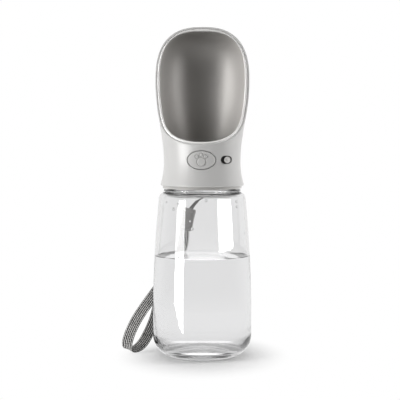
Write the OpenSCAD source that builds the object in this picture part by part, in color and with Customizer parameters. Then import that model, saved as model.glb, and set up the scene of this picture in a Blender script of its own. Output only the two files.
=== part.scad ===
// Travel water bottle for dogs: a clear bottle with a screw-on head.
// The head opens into a drinking trough, fed through a push-button valve.
// The base stands at z = 0 on the Z axis, and the button faces -Y.

/* [Bottle] */
// Outer radius of the bottle near its base
bottle_r = 37.6; // [36.5:0.1:40]
// Outer radius of the bottle just below its shoulder
shoulder_r = 33.1; // [32:0.1:35]
// Height of the shoulder's flat top
shoulder_z = 125.4; // [110:0.1:150]
// Radius of the rounding between side and shoulder
shoulder_round = 5; // [3:0.5:5.5]
// Radius of the rounding between side and base
base_round = 16; // [6:0.5:18]
// Height at which the side starts to taper
taper_z = 41; // [25:1:55]
// How evenly the side tapers above that height
taper_power = 1.6; // [1.2:0.1:2.2]
// Thickness of the clear side wall
bottle_wall = 1.8; // [1.4:0.1:2.6]
// Thickness of the clear base at its rim
base_t = 6; // [3:0.5:9]
// Rise of the base's inner face towards its middle
base_dome = 1.2; // [0.4:0.1:2.5]
// Radius of the rounding inside the base
inner_round = 12; // [6:0.5:14]

/* [Neck and thread] */
// Outer radius of the neck between its threads
neck_r = 24; // [23:0.1:24.5]
// Thickness of the neck's wall
neck_wall = 2; // [1.6:0.1:2.4]
// Height of the neck's lip above the shoulder
neck_h = 13.7; // [13:0.1:14]
// Radius of the short root between shoulder and bead
root_r = 27; // [26:0.1:28]
// Height of that root
root_h = 0.8; // [0.6:0.1:1.5]
// Radius of the bead that the head closes down to
bead_r = 29.3; // [28.6:0.1:30]
// Thickness of the bead
bead_t = 1.4; // [1:0.1:2]
// Rise of the thread in one turn
thread_pitch = 4.5; // [4:0.1:5.5]
// How far a thread stands out from its wall
thread_depth = 1.4; // [1.1:0.05:1.5]
// Half height of a thread at its root
thread_root = 1; // [0.8:0.05:1.1]
// Gap between the bead and the thread's lower edge
thread_up = 2.2; // [2:0.1:2.6]
// Half height of a thread at its crest
thread_crest = 0.5; // [0.3:0.05:0.6]
// Turns of thread on the neck
neck_turns = 1.3; // [1:0.1:1.4]
// Turns of thread in the collar
collar_turns = 1.1; // [0.8:0.1:1.2]
// Gap between a thread's crest and the wall that it runs in
thread_gap = 0.35; // [0.3:0.05:0.5]
// Thickness of the silicone gasket on the lip
gasket_t = 1.2; // [0.8:0.1:2]

/* [Head shell] */
// Gap between the bead and the head
bead_gap = 0.8; // [0.4:0.1:1.5]
// Thickness of the collar's lip, seen below the shell
collar_lip_t = 2; // [1.5:0.1:3]
// How far the collar's lip stays inside the shell's edge
collar_step = 2; // [1:0.1:2.4]
// Outer radius of the waist
waist_r = 29.15; // [28.9:0.05:30.5]
// Height of the waist above the head's lower end
waist_up = 19.8; // [18:0.1:22]
// Radius of the curve that flares the shell below its waist
flare_curve = 55; // [45:1:80]
// Chamfer on the shell's lower edge
flare_chamfer = 0.9; // [0.5:0.1:1.3]
// Width of the scoop at its widest
scoop_w = 72; // [68:0.5:76]
// Height of the widest place above the waist
scoop_up = 61; // [55:0.5:68]
// Height of the scoop's top above the widest place
dome_h = 41.6; // [36:0.1:46]
// Squareness of the scoop's top, where 2 is an ellipse
dome_power = 2.58; // [2.2:0.01:3]
// Depth of the scoop as a share of its width, at the widest place
scoop_flat = 0.84; // [0.78:0.01:0.95]
// How far the scoop's top leans back
scoop_lean = 6.5; // [3:0.5:8]
// Thickness of the shell's wall
shell_wall = 1.5; // [1.3:0.1:1.7]
// Thickness of the shell's wall at the waist
waist_wall = 2.1; // [1.8:0.1:2.4]
// Depth of the bead by which the collar snaps into the shell
snap_t = 0.6; // [0.3:0.1:0.8]
// Height of that bead
snap_h = 1.2; // [0.8:0.1:1.6]
// Height of the deck above that bead
snap_down = 3; // [2:0.1:4]

/* [Mouth of the trough] */
// Height of the mouth's front edge above the waist
mouth_up = 12.3; // [11.9:0.1:16]
// How suddenly the front edge turns up into the sides
mouth_power = 5.8; // [3:0.1:6.5]
// How far the mouth's curve starts in front of the waist
mouth_front = 0.4; // [0.2:0.1:1]
// Where the mouth's top edge lies behind the Z axis
mouth_back = 6.5; // [4:0.1:9]
// Thickness of the liner's wall
liner_wall = 1.9; // [1.5:0.1:2.4]
// How far the liner's lip stands in front of the mouth's curve
lip_proud = 2; // [0.7:0.1:2.4]
// Step from the shell's edge up to the liner's lip
rim_step = 0.6; // [0.3:0.1:0.7]
// How much squarer the bowl's top is than the scoop's
bowl_square = 0.27; // [0:0.01:0.3]
// Gap between the liner and the shell
liner_gap = 0.1; // [0.05:0.05:0.2]
// Thickness of the trough's floor
trough_floor = 1.6; // [1.2:0.1:2]
// Radius of the rounding between the trough's floor and wall
trough_round = 5; // [3:0.5:6]

/* [Button] */
// Width of the oval button
button_w = 20.6; // [18:0.1:21.5]
// Height of the oval button
button_h = 13.6; // [11.5:0.1:14]
// Gap all round the button
button_gap = 0.45; // [0.3:0.05:0.6]
// How far the button stands out from the waist
button_proud = 0.35; // [0.1:0.05:0.8]
// Thickness of the button's face
button_t = 3.4; // [3:0.1:4]
// How far the button's flange overlaps the hole
flange_over = 0.6; // [0.4:0.1:0.8]
// Thickness of that flange
flange_t = 1.5; // [1:0.1:2]
// How far the stem's front end lies behind the face's thickness
stem_set = 0.6; // [0.4:0.1:1]
// Wall of the boss that holds the stem
boss_wall = 2; // [1.5:0.1:2.5]
// Gap between the boss and the valve when the button is pressed home
boss_gap = 0.6; // [0.4:0.1:1]
// Radius of the paw's pad
pad_r = 2.8; // [2:0.1:3.2]
// How far the pad lies below the middle
pad_down = 1.3; // [1:0.1:1.6]
// Radius of the paw's toes
toe_r = 0.95; // [0.6:0.05:1.2]
// Height of the middle toe above the middle
toe_up = 3.9; // [3.6:0.1:4.2]
// Height of the outer toes above the middle
toe_side_up = 2.7; // [2.4:0.1:3]
// Distance of the outer toes from the middle
toe_side = 3.2; // [2.9:0.1:3.6]
// Height of the raised paw
paw_t = 0.3; // [0.2:0.05:0.5]
// Travel of the button
button_travel = 3; // [2:0.5:3]

/* [Lock] */
// Middle of the lock's slot, to the right of the button's middle
slot_x = 18.4; // [18.2:0.1:18.6]
// Width of the slot
slot_w = 8.2; // [8:0.1:8.6]
// Height of the slot
slot_h = 6.1; // [5.4:0.1:6.6]
// Radius of the knob
knob_r = 2.35; // [2:0.05:2.45]
// Middle of the knob when unlocked
knob_x = 19.2; // [19:0.1:19.4]
// Distance of the knob's face in front of the Z axis
knob_front = 24.9; // [24.4:0.1:26]
// Radius of the dimple in the knob's face
dimple_r = 1.15; // [0.8:0.05:1.4]
// Depth of the dimple
dimple_t = 0.4; // [0.2:0.05:0.6]
// Thickness of the slider's curved plate
slider_t = 3.3; // [2.6:0.1:3.5]
// Height of the plate
slider_h = 10; // [8.5:0.5:10.5]
// Left edge of the plate when unlocked
slider_x = 14.2; // [14:0.1:14.8]
// Angle at which the plate ends, counted round from the button
slider_end = 61; // [60:1:63]
// Thickness of the upright guide behind the plate
guide_t = 1.4; // [1:0.1:1.8]
// Angle at which the guide starts, counted round from the button
guide_start = 34; // [32:1:36]
// How far the guide goes on past the plate's end, as an angle
guide_past = 8; // [6:1:10]
// Thickness of the guide's foot
foot_t = 1.6; // [1.2:0.1:2]
// Angle from the guide's start to its first screw
foot_in = 8; // [7:1:10]
// Half width of the guide's foot inside its screws
foot_half = 2.2; // [2:0.1:2.4]

/* [Valve] */
// Outer radius of the valve's barrel
barrel_r = 6; // [5.8:0.1:6.3]
// Height of the barrel's underside above the deck
barrel_up = 2.2; // [2.2:0.1:2.6]
// Distance of the barrel's two ends from the Z axis
barrel_end = 17; // [16.5:0.1:18]
// Radius of the plunger's stem
stem_r = 2; // [1.6:0.1:2.2]
// Running clearance round the stem
stem_fit = 0.05; // [0.03:0.01:0.08]
// Radius of the bore that holds the gland and the O-ring
gland_r = 4.4; // [4.2:0.1:4.6]
// Length of the gland inside that bore
gland_l = 2.7; // [2:0.1:3.2]
// Thickness of the flanges that cover the barrel's two ends
end_flange_t = 1.6; // [1.2:0.1:2]
// Radius of the front chamber
front_r = 3.6; // [3.3:0.1:4]
// Radius of the rear chamber
rear_r = 4.9; // [4.7:0.1:5.1]
// Radius of the hole in the seat
seat_r = 3.2; // [2.8:0.1:3.4]
// Distance of the seat's sealing face in front of the Z axis
seat_y = 0.6; // [0.2:0.1:1.5]
// Thickness of the seat
seat_t = 1.6; // [1.2:0.1:2]
// Overlap of the silicone disc on the seat
seat_over = 1.2; // [0.8:0.1:1.3]
// Thickness of the silicone disc
disc_t = 2; // [1.5:0.1:2.5]
// Radius of the stem's tail, behind the seat
tail_r = 1.2; // [0.9:0.1:1.4]
// Thickness of the retainer behind the disc
retainer_t = 1.2; // [0.8:0.1:1.6]
// Length of the hub that centres the spring
hub_l = 1.8; // [1.2:0.1:2.4]
// Gap between that hub and the spring
hub_gap = 0.3; // [0.2:0.05:0.5]
// Length of the stem's tail behind the retainer
tail_l = 2.4; // [1.8:0.1:3]
// Gap between the retainer's edge and the rear chamber
retainer_gap = 1; // [0.6:0.1:1.2]
// Length of the plug in the rear chamber
plug_l = 4; // [3.4:0.1:4.6]
// Depth of the plug's groove
groove_t = 1; // [0.8:0.1:1.2]
// Length of the plug's groove
groove_w = 1.6; // [1.4:0.1:2]
// Radius of the holes from the bottle and to the trough
port_r = 2.6; // [2.1:0.1:2.8]
// Distance of the outlet in front of the Z axis
outlet_y = 7; // [6.5:0.1:8]
// Distance of the inlet behind the Z axis
inlet_y = 8; // [7:0.1:9]
// Thickness of the wall round the outlet
spigot_wall = 1.6; // [1.2:0.1:2]
// Height of the outlet's end above the barrel
spigot_up = 1.7; // [1.7:0.1:2]
// Thickness of the outlet's seal
outlet_seal_t = 0.6; // [0.4:0.1:1]
// Thickness of the spring's wire
wire_d = 0.7; // [0.5:0.05:0.8]
// Radius of the spring at the middle of its wire
spring_r = 3; // [2.9:0.05:3.3]
// Turns of the spring
spring_turns = 5; // [4:1:7]

/* [Deck and screws] */
// Thickness of the deck
deck_t = 2; // [1.6:0.1:3]
// Thickness of the collar's wall
collar_wall = 1.5; // [1.3:0.1:1.6]
// Radius of a screw's shank
screw_r = 1; // [0.8:0.05:1.1]
// Length of a screw's shank
screw_l = 5.4; // [4.6:0.1:5.8]
// Radius of a screw's head
screw_head_r = 1.9; // [1.6:0.1:2.1]
// Height of a screw's head
screw_head_t = 1.3; // [1:0.1:1.5]
// Thickness of the ears that the screws clamp
ear_t = 2; // [1.5:0.1:2.5]
// Half width of an ear
ear_half = 2.6; // [2.4:0.1:2.8]
// Distance of the ears' screws from the middle
ear_x = 11; // [10.5:0.1:11.5]
// Distance of the rear screws behind the Z axis
ear_back = 11; // [10:0.1:12]
// How far an ear goes on past its screw
ear_past = 2.5; // [2.2:0.1:2.8]
// Gap between the front ears and the guide's foot
ear_gap = 0.6; // [0.4:0.1:1]
// How much deeper a screw's wall is than its shank
screw_over = 0.8; // [0.6:0.1:1]
// Wall round a screw below the deck
screw_wall = 1.3; // [1:0.1:1.6]
// Gap between that wall and the neck
screw_gap = 0.95; // [0.8:0.05:1.2]
// Gap between a screw's head and the guide
head_gap = 0.9; // [0.5:0.1:1.2]
// Width of a screw's cross slot
cross_t = 0.5; // [0.4:0.1:0.6]
// Length of a screw's cross slot
cross_l = 2.4; // [2:0.1:2.8]

/* [Strap] */
// Diameter of the thin cord
cord_d = 1.6; // [1.2:0.1:1.8]
// Width of the webbing
web_w = 8.4; // [7:0.1:9]
// Thickness of the webbing
web_t = 1.2; // [0.9:0.1:1.3]
// Width of the sleeve
sleeve_w = 11; // [10.4:0.1:12]
// Thickness of the sleeve
sleeve_t = 5; // [4.6:0.1:5.6]
// Thickness of the lug that holds the cord
lug_wire = 2.4; // [2:0.1:2.8]
// Radius of the lug at the middle of its wire
lug_r = 3.2; // [3:0.1:3.6]
// Height of the lug above the head's lower end
lug_up = 5.8; // [4.5:0.1:7]

/* [Hidden] */
$fn = 96;
fit = 0.05;
run_gap = 0.4;
cut = 1;

// Heights, from the bottle's shoulder up
bead_z = shoulder_z + root_h;
lip_z = shoulder_z + neck_h;
deck_z = lip_z + gasket_t;
deck_top = deck_z + deck_t;
head_z = bead_z + bead_t + bead_gap;
shell_z = head_z + collar_lip_t;
waist_z = head_z + waist_up;
wide_z = waist_z + scoop_up;
top_z = wide_z + dome_h;
valve_z = deck_top + barrel_up + barrel_r;
spigot_top = valve_z + barrel_r + spigot_up;
ledge_z = spigot_top + outlet_seal_t;
floor_z = ledge_z + trough_floor;
join_z = ledge_z + trough_floor / 2;
mouth_z = waist_z + mouth_up;
lug_z = head_z + lug_up;
thread_z = bead_z + bead_t + thread_root + thread_up;

// Radii inside the head
neck_bore = neck_r - neck_wall;
collar_bore = neck_r + thread_depth + thread_gap;
collar_r = collar_bore + collar_wall;
shell_bore = collar_r + fit;
cavity_r = waist_r - waist_wall;
flange_r = cavity_r - run_gap;
slider_r = cavity_r - run_gap;
guide_r = slider_r - slider_t - run_gap;
guide_screw_r = min(guide_r - guide_t - head_gap - screw_head_r, neck_bore - screw_gap - screw_wall - screw_r);
guide_end = slider_end + guide_past;
ear_front = (guide_screw_r - foot_half) * cos(guide_end - 1) - ear_half - ear_gap;
snap_z = deck_z - snap_down;

// Outline of the bottle's side at height z
function side_r(z) = z <= taper_z
    ? bottle_r
    : bottle_r - (bottle_r - shoulder_r) * pow((z - taper_z) / (shoulder_z - shoulder_round - taper_z), taper_power);

// Points on an arc of radius r about (cx, cz)
function arc(cx, cz, r, from, to, steps = 8) = [
    for (i = [0 : steps]) let (a = from + (to - from) * i / steps) [cx + r * cos(a), cz + r * sin(a)]
];

// Radius of the shell below its waist, where it keeps its wall round the collar
function flare_r(z) = max(
    waist_r + pow(waist_z - z, 2) / (2 * flare_curve),
    z < deck_top + shell_wall ? shell_bore + shell_wall : 0
);

// Half width of the scoop at height z, drawn in by inset
function half_w(z, inset = 0, power = dome_power) = z <= wide_z
    ? waist_r + (scoop_w / 2 - waist_r) * (1 - cos(180 * (z - waist_z) / scoop_up)) / 2 - inset
    : (scoop_w / 2 - inset) * pow(1 - pow(min(1, (z - wide_z) / (dome_h - inset)), power), 1 / power);

// A smooth step from 0 to 1
function ease(t) = let (u = min(1, max(0, t))) u * u * (3 - 2 * u);

// How far the middle of the scoop's section lies behind the Z axis
function lean(z) = scoop_lean * pow(max(0, (z - join_z) / (top_z - join_z)), 1.5);

// Depth of the scoop's section as a share of its width
function flatness(z) = 1 - (1 - scoop_flat) * ease((z - join_z) / (wide_z - join_z));

// How much narrower the trough is at height z because of its rounded floor
function bowl_inset(z) = z < floor_z + trough_round
    ? trough_round - sqrt(pow(trough_round, 2) - pow(floor_z + trough_round - z, 2))
    : 0;

// Heights of the scoop's sections, closer together towards the top
function levels(z0, inset) = concat(
    [for (i = [0 : 11]) z0 + (wide_z - z0) * i / 12],
    [for (i = [0 : 12]) wide_z + (dome_h - inset) * sin(6.9 * i)]
);

// One oval section of the scoop
function section(z, inset, steps, power) = [
    for (i = [0 : steps - 1]) let (a = 360 * i / steps, w = half_w(z, inset, power))
        [w * cos(a), lean(z) + w * flatness(z) * sin(a), z]
];

// Distance of the mouth's edge behind the Z axis at height z
function mouth_y(z) = mouth_back - (mouth_back + waist_r + mouth_front)
    * pow(max(0, (top_z - z) / (top_z - mouth_z)), mouth_power);

function unit(v) = v / norm(v);

// Rows of quads between rings that run round in the same sense, with closed ends
function tube_faces(rings, sides) = concat(
    [[for (j = [0 : sides - 1]) j]],
    [for (i = [0 : rings - 2], j = [0 : sides - 1])
        each let (a = i * sides + j, b = i * sides + (j + 1) % sides)
            [[a, a + sides, b + sides], [a, b + sides, b]]],
    [[for (j = [0 : sides - 1]) rings * sides - 1 - j]]
);

// Solid scoop from height z0 to its top
module scoop(z0, inset, bowl = false) {
    steps = 60;
    power = dome_power + (bowl ? bowl_square : 0);
    zs = levels(z0, inset);
    rings = [for (z = zs) section(z, inset + (bowl ? bowl_inset(z) : 0), steps, power)];
    count = len(zs);
    apex = count * steps;
    points = concat([for (ring = rings) each ring], [[0, lean(top_z), top_z - inset]]);
    sides = [for (i = [0 : count - 2], j = [0 : steps - 1])
        each let (a = i * steps + j, b = i * steps + (j + 1) % steps)
            [[a, a + steps, b + steps], [a, b + steps, b]]];
    cap = [for (j = [0 : steps - 1]) [apex - steps + j, apex, apex - steps + (j + 1) % steps]];
    polyhedron(points, concat([[for (j = [0 : steps - 1]) j]], sides, cap), convexity = 4);
}

// Everything in front of the mouth's edge, which is moved forward by proud
module mouth_cutter(proud) {
    edge = [for (i = [0 : 28]) let (z = mouth_z + (top_z + 3 - mouth_z) * i / 28,
        slope = unit([mouth_y(z + 0.1) - mouth_y(z - 0.1), 0.2]))
        [mouth_y(z) - proud * slope[1], z + proud * slope[0]]];
    front = -2 * waist_r;
    rotate([90, 0, 90])
        linear_extrude(height = 2 * scoop_w, center = true)
            polygon(concat([[front, edge[0][1] - 12], [edge[0][0] - 14, edge[0][1] - 12]], edge,
                [[edge[28][0], top_z + 10], [front, top_z + 10]]));
}

// Oval prism along Y, from y0 to y1
module oval(w, h, y0, y1) {
    translate([0, y1, valve_z])
        rotate([90, 0, 0])
            linear_extrude(height = y1 - y0)
                polygon([for (i = [0 : 59]) [w / 2 * cos(6 * i), h / 2 * sin(6 * i)]]);
}

// Cylinder along Y, from y0 to y1
module rod(r, y0, y1, x = 0, z = valve_z) {
    translate([x, y1, z])
        rotate([90, 0, 0])
            cylinder(r = r, h = y1 - y0);
}

// Ring about Z with square edges
module ring(r_in, r_out, z0, z1) {
    difference() {
        translate([0, 0, z0])
            cylinder(r = r_out, h = z1 - z0);
        translate([0, 0, z0 - cut])
            cylinder(r = r_in, h = z1 - z0 + 2 * cut);
    }
}

// Ring about Z between two angles counted from the front towards the right
module arc_wall(r_in, r_out, z0, z1, a0, a1) {
    translate([0, 0, z0])
        rotate([0, 0, a0 - 90])
            rotate_extrude(angle = a1 - a0)
                polygon([[r_in, 0], [r_out, 0], [r_out, z1 - z0], [r_in, z1 - z0]]);
}

// O-ring about an axis along Y
module o_ring(r_in, r_out, y) {
    translate([0, y, valve_z])
        rotate([90, 0, 0])
            rotate_extrude()
                translate([(r_in + r_out) / 2, 0])
                    circle(r = (r_out - r_in) / 2, $fn = 32);
}

// Helical thread from a wall of radius wall to its crest, fading out at both ends
module thread(wall, crest, z0, turns) {
    steps = round(36 * turns);
    inward = crest < wall;
    sink = inward ? 0.4 : -0.4;
    rings = [for (i = [0 : steps])
        let (a = 10 * i, z = z0 + thread_pitch * i / 36,
            rise = min(1, (i + 0.5) / 4, (steps - i + 0.5) / 4),
            r = wall + (crest - wall) * rise,
            outline = [[wall + sink, -thread_root], [r, -thread_crest],
                [r, thread_crest], [wall + sink, thread_root]])
        [for (j = [0 : 3]) let (p = outline[inward ? j : 3 - j]) [p[0] * cos(a), p[0] * sin(a), z + p[1]]]];
    polyhedron([for (ring = rings) each ring], tube_faces(steps + 1, 4), convexity = 6);
}

// Clear bottle: solid rounded base, tapered side, shoulder, bead and threaded neck
module bottle() {
    inner_r = bottle_r - bottle_wall;
    shoulder_mid = [shoulder_r - shoulder_round, shoulder_z - shoulder_round];
    side_zs = [for (i = [0 : 10]) taper_z + (shoulder_mid[1] - taper_z) * i / 10];
    bead_edge = 0.4;
    color([0.9, 0.93, 0.95, 0.35]) {
        rotate_extrude()
            polygon(concat(
                [[0, 0]],
                arc(bottle_r - base_round, base_round, base_round, -90, 0),
                [for (z = side_zs) [side_r(z), z]],
                arc(shoulder_mid[0], shoulder_mid[1], shoulder_round, 10, 90),
                [[root_r, shoulder_z], [root_r, bead_z], [bead_r - bead_edge, bead_z]],
                [[bead_r, bead_z + bead_edge], [bead_r, bead_z + bead_t - bead_edge]],
                [[bead_r - bead_edge, bead_z + bead_t], [neck_r, bead_z + bead_t]],
                [[neck_r, lip_z - bead_edge], [neck_r - bead_edge, lip_z]],
                [[neck_bore + fit, lip_z], [neck_bore, lip_z - fit]],
                [[neck_bore, shoulder_z - bottle_wall], [shoulder_mid[0], shoulder_z - bottle_wall]],
                arc(shoulder_mid[0], shoulder_mid[1], shoulder_round - bottle_wall, 80, 10),
                [for (i = [10 : -1 : 0]) [side_r(side_zs[i]) - bottle_wall, side_zs[i]]],
                arc(inner_r - inner_round, base_t + inner_round, inner_round, 0, -90),
                [[0, base_t + base_dome]]
            ));
        thread(neck_r, neck_r + thread_depth, thread_z, neck_turns);
    }
}

// Flat silicone ring between the bottle's lip and the deck
module neck_gasket() {
    color("whitesmoke")
        ring(neck_bore + 0.2, neck_r - 0.4, lip_z, deck_z);
}

// Outer cover of the head: flared foot, waist and scoop, with the lug for the cord
module head_shell() {
    edge_r = flare_r(shell_z + flare_chamfer);
    waist_zs = [for (i = [0 : 8]) shell_z + flare_chamfer + (waist_z - shell_z - flare_chamfer) * i / 8];
    upper_zs = [for (i = [1 : 4]) waist_z + (join_z - waist_z) * i / 4];
    slot_r = slot_h / 2;
    color("gainsboro")
        difference() {
            union() {
                rotate_extrude()
                    polygon(concat(
                        [[0, shell_z], [edge_r - flare_chamfer, shell_z]],
                        [for (z = waist_zs) [flare_r(z), z]],
                        [for (z = upper_zs) [half_w(z), z]],
                        [[0, join_z]]
                    ));
                scoop(ledge_z + fit, fit);
                translate([0, flare_r(lug_z) + lug_r - lug_wire, lug_z])
                    rotate_extrude()
                        translate([lug_r, 0])
                            circle(d = lug_wire, $fn = 32);
            }
            translate([0, 0, shell_z - cut])
                cylinder(r = shell_bore, h = deck_top - shell_z + cut);
            translate([0, 0, deck_top - cut])
                cylinder(r = cavity_r, h = ledge_z - deck_top + 2 * cut);
            ring(shell_bore - cut, shell_bore + snap_t, snap_z - fit, snap_z + snap_h + fit);
            scoop(ledge_z, shell_wall);
            mouth_cutter(lip_proud - rim_step);
            oval(button_w + 2 * button_gap, button_h + 2 * button_gap, -2 * waist_r, 0);
            for (side = [-1, 1])
                rod(slot_r, -2 * waist_r, 0, slot_x + side * (slot_w / 2 - slot_r));
            translate([slot_x - slot_w / 2 + slot_r, -2 * waist_r, valve_z - slot_r])
                cube([slot_w - slot_h, 2 * waist_r, slot_h]);
        }
}

// Inner bowl of the trough, with the outlet hole in its floor
module trough_liner() {
    outer = shell_wall + liner_gap;
    color("darkgray")
        difference() {
            scoop(ledge_z, outer);
            scoop(floor_z, outer + liner_wall, bowl = true);
            mouth_cutter(lip_proud);
            translate([0, -outlet_y, ledge_z - cut])
                cylinder(r = port_r, h = trough_floor + 2 * cut);
        }
}

// Places of the screws on the deck
function screw_places() = concat(
    [for (side = [-1, 1], y = [-ear_front, ear_back]) [side * ear_x, y, deck_top + ear_t]],
    [for (a = [guide_start + foot_in, slider_end - 1])
        [guide_screw_r * sin(a), -guide_screw_r * cos(a), deck_top + foot_t]]
);

// Threaded ring and deck that close the head's lower end
module thread_collar() {
    boss_h = screw_l - deck_t - foot_t + screw_over;
    color("silver")
        difference() {
            union() {
                ring(collar_bore, collar_r, head_z, deck_top);
                ring(collar_bore, flare_r(shell_z) - collar_step, head_z, shell_z);
                ring(collar_bore, collar_r + snap_t - fit, snap_z, snap_z + snap_h);
                translate([0, 0, deck_z])
                    cylinder(r = collar_r, h = deck_t);
                for (p = screw_places())
                    translate([p[0], p[1], deck_z - boss_h])
                        cylinder(r = screw_r + screw_wall, h = boss_h + deck_t / 2);
                thread(collar_bore, neck_r + thread_gap, thread_z + thread_pitch / 2, collar_turns);
            }
            for (p = screw_places())
                translate([p[0], p[1], p[2] - screw_l - run_gap / 2])
                    cylinder(r = screw_r + fit, h = screw_l + cut);
            translate([0, inlet_y, deck_z - cut])
                cylinder(r = port_r, h = deck_t + 2 * cut);
        }
}

// Block with the horizontal valve bore, the inlet from below and the outlet above
module valve_body() {
    seal_end = -barrel_end + gland_l + gland_r - stem_r - stem_fit;
    color("white")
        difference() {
            union() {
                rod(barrel_r, -barrel_end, barrel_end);
                translate([-barrel_r, -barrel_end, deck_top])
                    cube([2 * barrel_r, 2 * barrel_end, valve_z - deck_top]);
                translate([0, -outlet_y, valve_z])
                    cylinder(r = port_r + spigot_wall, h = spigot_top - valve_z);
                for (y = [-ear_front, ear_back])
                    translate([-ear_x - ear_past, y - ear_half, deck_top])
                        cube([2 * (ear_x + ear_past), 2 * ear_half, ear_t]);
            }
            rod(gland_r, -barrel_end - cut, seal_end);
            rod(front_r, seal_end - cut, -seat_y - seat_t);
            rod(seat_r, -seat_y - seat_t - cut, -seat_y + cut);
            rod(rear_r, -seat_y, barrel_end + cut);
            translate([0, inlet_y, deck_top - cut])
                cylinder(r = port_r, h = valve_z - deck_top + cut);
            translate([0, -outlet_y, valve_z])
                cylinder(r = port_r, h = spigot_top - valve_z + cut);
            for (p = screw_places())
                translate([p[0], p[1], deck_top - cut])
                    cylinder(r = screw_r + fit, h = ear_t + 2 * cut);
        }
}

// Bush that guides the stem and keeps its O-ring in
module valve_gland() {
    color("lightgray")
        difference() {
            union() {
                rod(gland_r - fit, -barrel_end, -barrel_end + gland_l);
                rod(barrel_r - run_gap / 2, -barrel_end - end_flange_t, -barrel_end);
            }
            rod(stem_r + stem_fit, -barrel_end - end_flange_t - cut, -barrel_end + gland_l + cut);
        }
}

// O-ring round the stem
module stem_seal() {
    inner = stem_r + stem_fit;
    color("dimgray")
        o_ring(inner, gland_r - fit, -barrel_end + gland_l + (gland_r - inner) / 2);
}

// Stem that carries the button's push to the valve's disc
module plunger() {
    tail = -seat_y + disc_t + retainer_t + tail_l;
    color("white") {
        rod(stem_r, -waist_r + button_t + stem_set, -seat_y);
        rod(tail_r, -seat_y - fit, tail);
    }
}

// Silicone disc that closes the seat
module seal_disc() {
    color("dimgray")
        difference() {
            rod(seat_r + seat_over, -seat_y, -seat_y + disc_t);
            rod(tail_r + fit, -seat_y - cut, -seat_y + disc_t + cut);
        }
}

// Retainer pushed on the tail, which also centres the spring
module seal_retainer() {
    y = -seat_y + disc_t;
    color("white")
        difference() {
            union() {
                rod(rear_r - retainer_gap, y, y + retainer_t);
                rod(spring_r - wire_d / 2 - hub_gap, y, y + retainer_t + hub_l);
            }
            rod(tail_r + fit, y - cut, y + retainer_t + hub_l + cut);
        }
}

// Compression spring behind the retainer
module valve_spring() {
    y0 = -seat_y + disc_t + retainer_t + wire_d / 2 + fit;
    y1 = barrel_end - plug_l - wire_d / 2 - fit;
    steps = 18 * spring_turns;
    sides = 8;
    rings = [for (i = [0 : steps])
        let (a = 20 * i, y = y0 + (y1 - y0) * ease(i / steps))
        [for (j = [0 : sides - 1]) let (b = 360 * j / sides, r = spring_r + wire_d / 2 * cos(b))
            [r * cos(a), y - wire_d / 2 * sin(b), valve_z + r * sin(a)]]];
    color("silver")
        polyhedron([for (ring = rings) each ring], tube_faces(steps + 1, sides), convexity = 8);
}

// Plug that closes the barrel at the back and backs the spring
module valve_cap() {
    color("lightgray")
        difference() {
            union() {
                rod(rear_r - fit, barrel_end - plug_l, barrel_end);
                rod(barrel_r - run_gap / 2, barrel_end, barrel_end + end_flange_t);
            }
            translate([0, barrel_end - (plug_l - groove_w) / 2, valve_z])
                rotate([90, 0, 0])
                    ring(rear_r - groove_t, rear_r + cut, 0, groove_w);
        }
}

// O-ring in the plug's groove
module cap_seal() {
    color("dimgray")
        o_ring(rear_r - groove_t + fit, rear_r - fit, barrel_end - plug_l / 2);
}

// Silicone ring between the valve's outlet and the trough's floor
module outlet_seal() {
    color("dimgray")
        translate([0, -outlet_y, 0])
            ring(port_r + run_gap / 2, port_r + spigot_wall - 2 * fit, spigot_top, ledge_z);
}

// Oval push button, curved like the waist, with a raised paw
module button() {
    face_r = waist_r + button_proud;
    back_r = waist_r - button_t;
    boss_end = -barrel_end - end_flange_t - button_travel - boss_gap;
    color("gainsboro")
        difference() {
            union() {
                intersection() {
                    oval(button_w, button_h, -2 * waist_r, -waist_r / 2);
                    ring(back_r, face_r, valve_z - button_h, valve_z + button_h);
                }
                intersection() {
                    oval(button_w + 2 * (button_gap + flange_over), button_h + 2 * (button_gap + flange_over),
                        -2 * waist_r, -waist_r / 2);
                    ring(flange_r - flange_t, flange_r, valve_z - button_h, valve_z + button_h);
                }
                rod(stem_r + boss_wall, -flange_r + flange_t / 2, boss_end);
                intersection() {
                    union() {
                        rod(pad_r, -2 * waist_r, -waist_r / 2, 0, valve_z - pad_down);
                        for (t = [[-toe_side, toe_side_up], [0, toe_up], [toe_side, toe_side_up]])
                            rod(toe_r, -2 * waist_r, -waist_r / 2, t[0], valve_z + t[1]);
                    }
                    ring(face_r - 1, face_r + paw_t, valve_z - button_h, valve_z + button_h);
                }
            }
            rod(stem_r + fit, -waist_r + button_t + stem_set, 0);
        }
}

// Round knob on a curved plate that slides behind the wall
module lock_slider() {
    dark_r = slider_r - slider_t;
    color("gainsboro")
        difference() {
            union() {
                intersection() {
                    arc_wall(dark_r, slider_r, valve_z - slider_h / 2, valve_z + slider_h / 2, 20, slider_end);
                    translate([slider_x, -2 * waist_r, valve_z - slider_h])
                        cube([2 * waist_r, 2 * waist_r, 2 * slider_h]);
                }
                rod(knob_r, -knob_front, -sqrt(pow(slider_r, 2) - pow(knob_x + knob_r, 2)), knob_x);
            }
            rod(dimple_r, -knob_front - cut, -knob_front + dimple_t, knob_x);
        }
}

// Upright that holds the slider against the wall and stops it at its end
module lock_guide() {
    stop_a = slider_end + 1;
    top = valve_z + slider_h / 2;
    color("white")
        difference() {
            union() {
                arc_wall(guide_r - guide_t, guide_r, deck_top, top, guide_start, guide_end);
                arc_wall(guide_r - fit, flange_r, deck_top, top, stop_a, guide_end);
                arc_wall(guide_screw_r - foot_half, guide_r - guide_t + fit, deck_top, deck_top + foot_t,
                    guide_start + 1, guide_end - 1);
            }
            for (p = screw_places())
                translate([p[0], p[1], deck_top - cut])
                    cylinder(r = screw_r + fit, h = foot_t + 2 * cut);
        }
}

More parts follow.
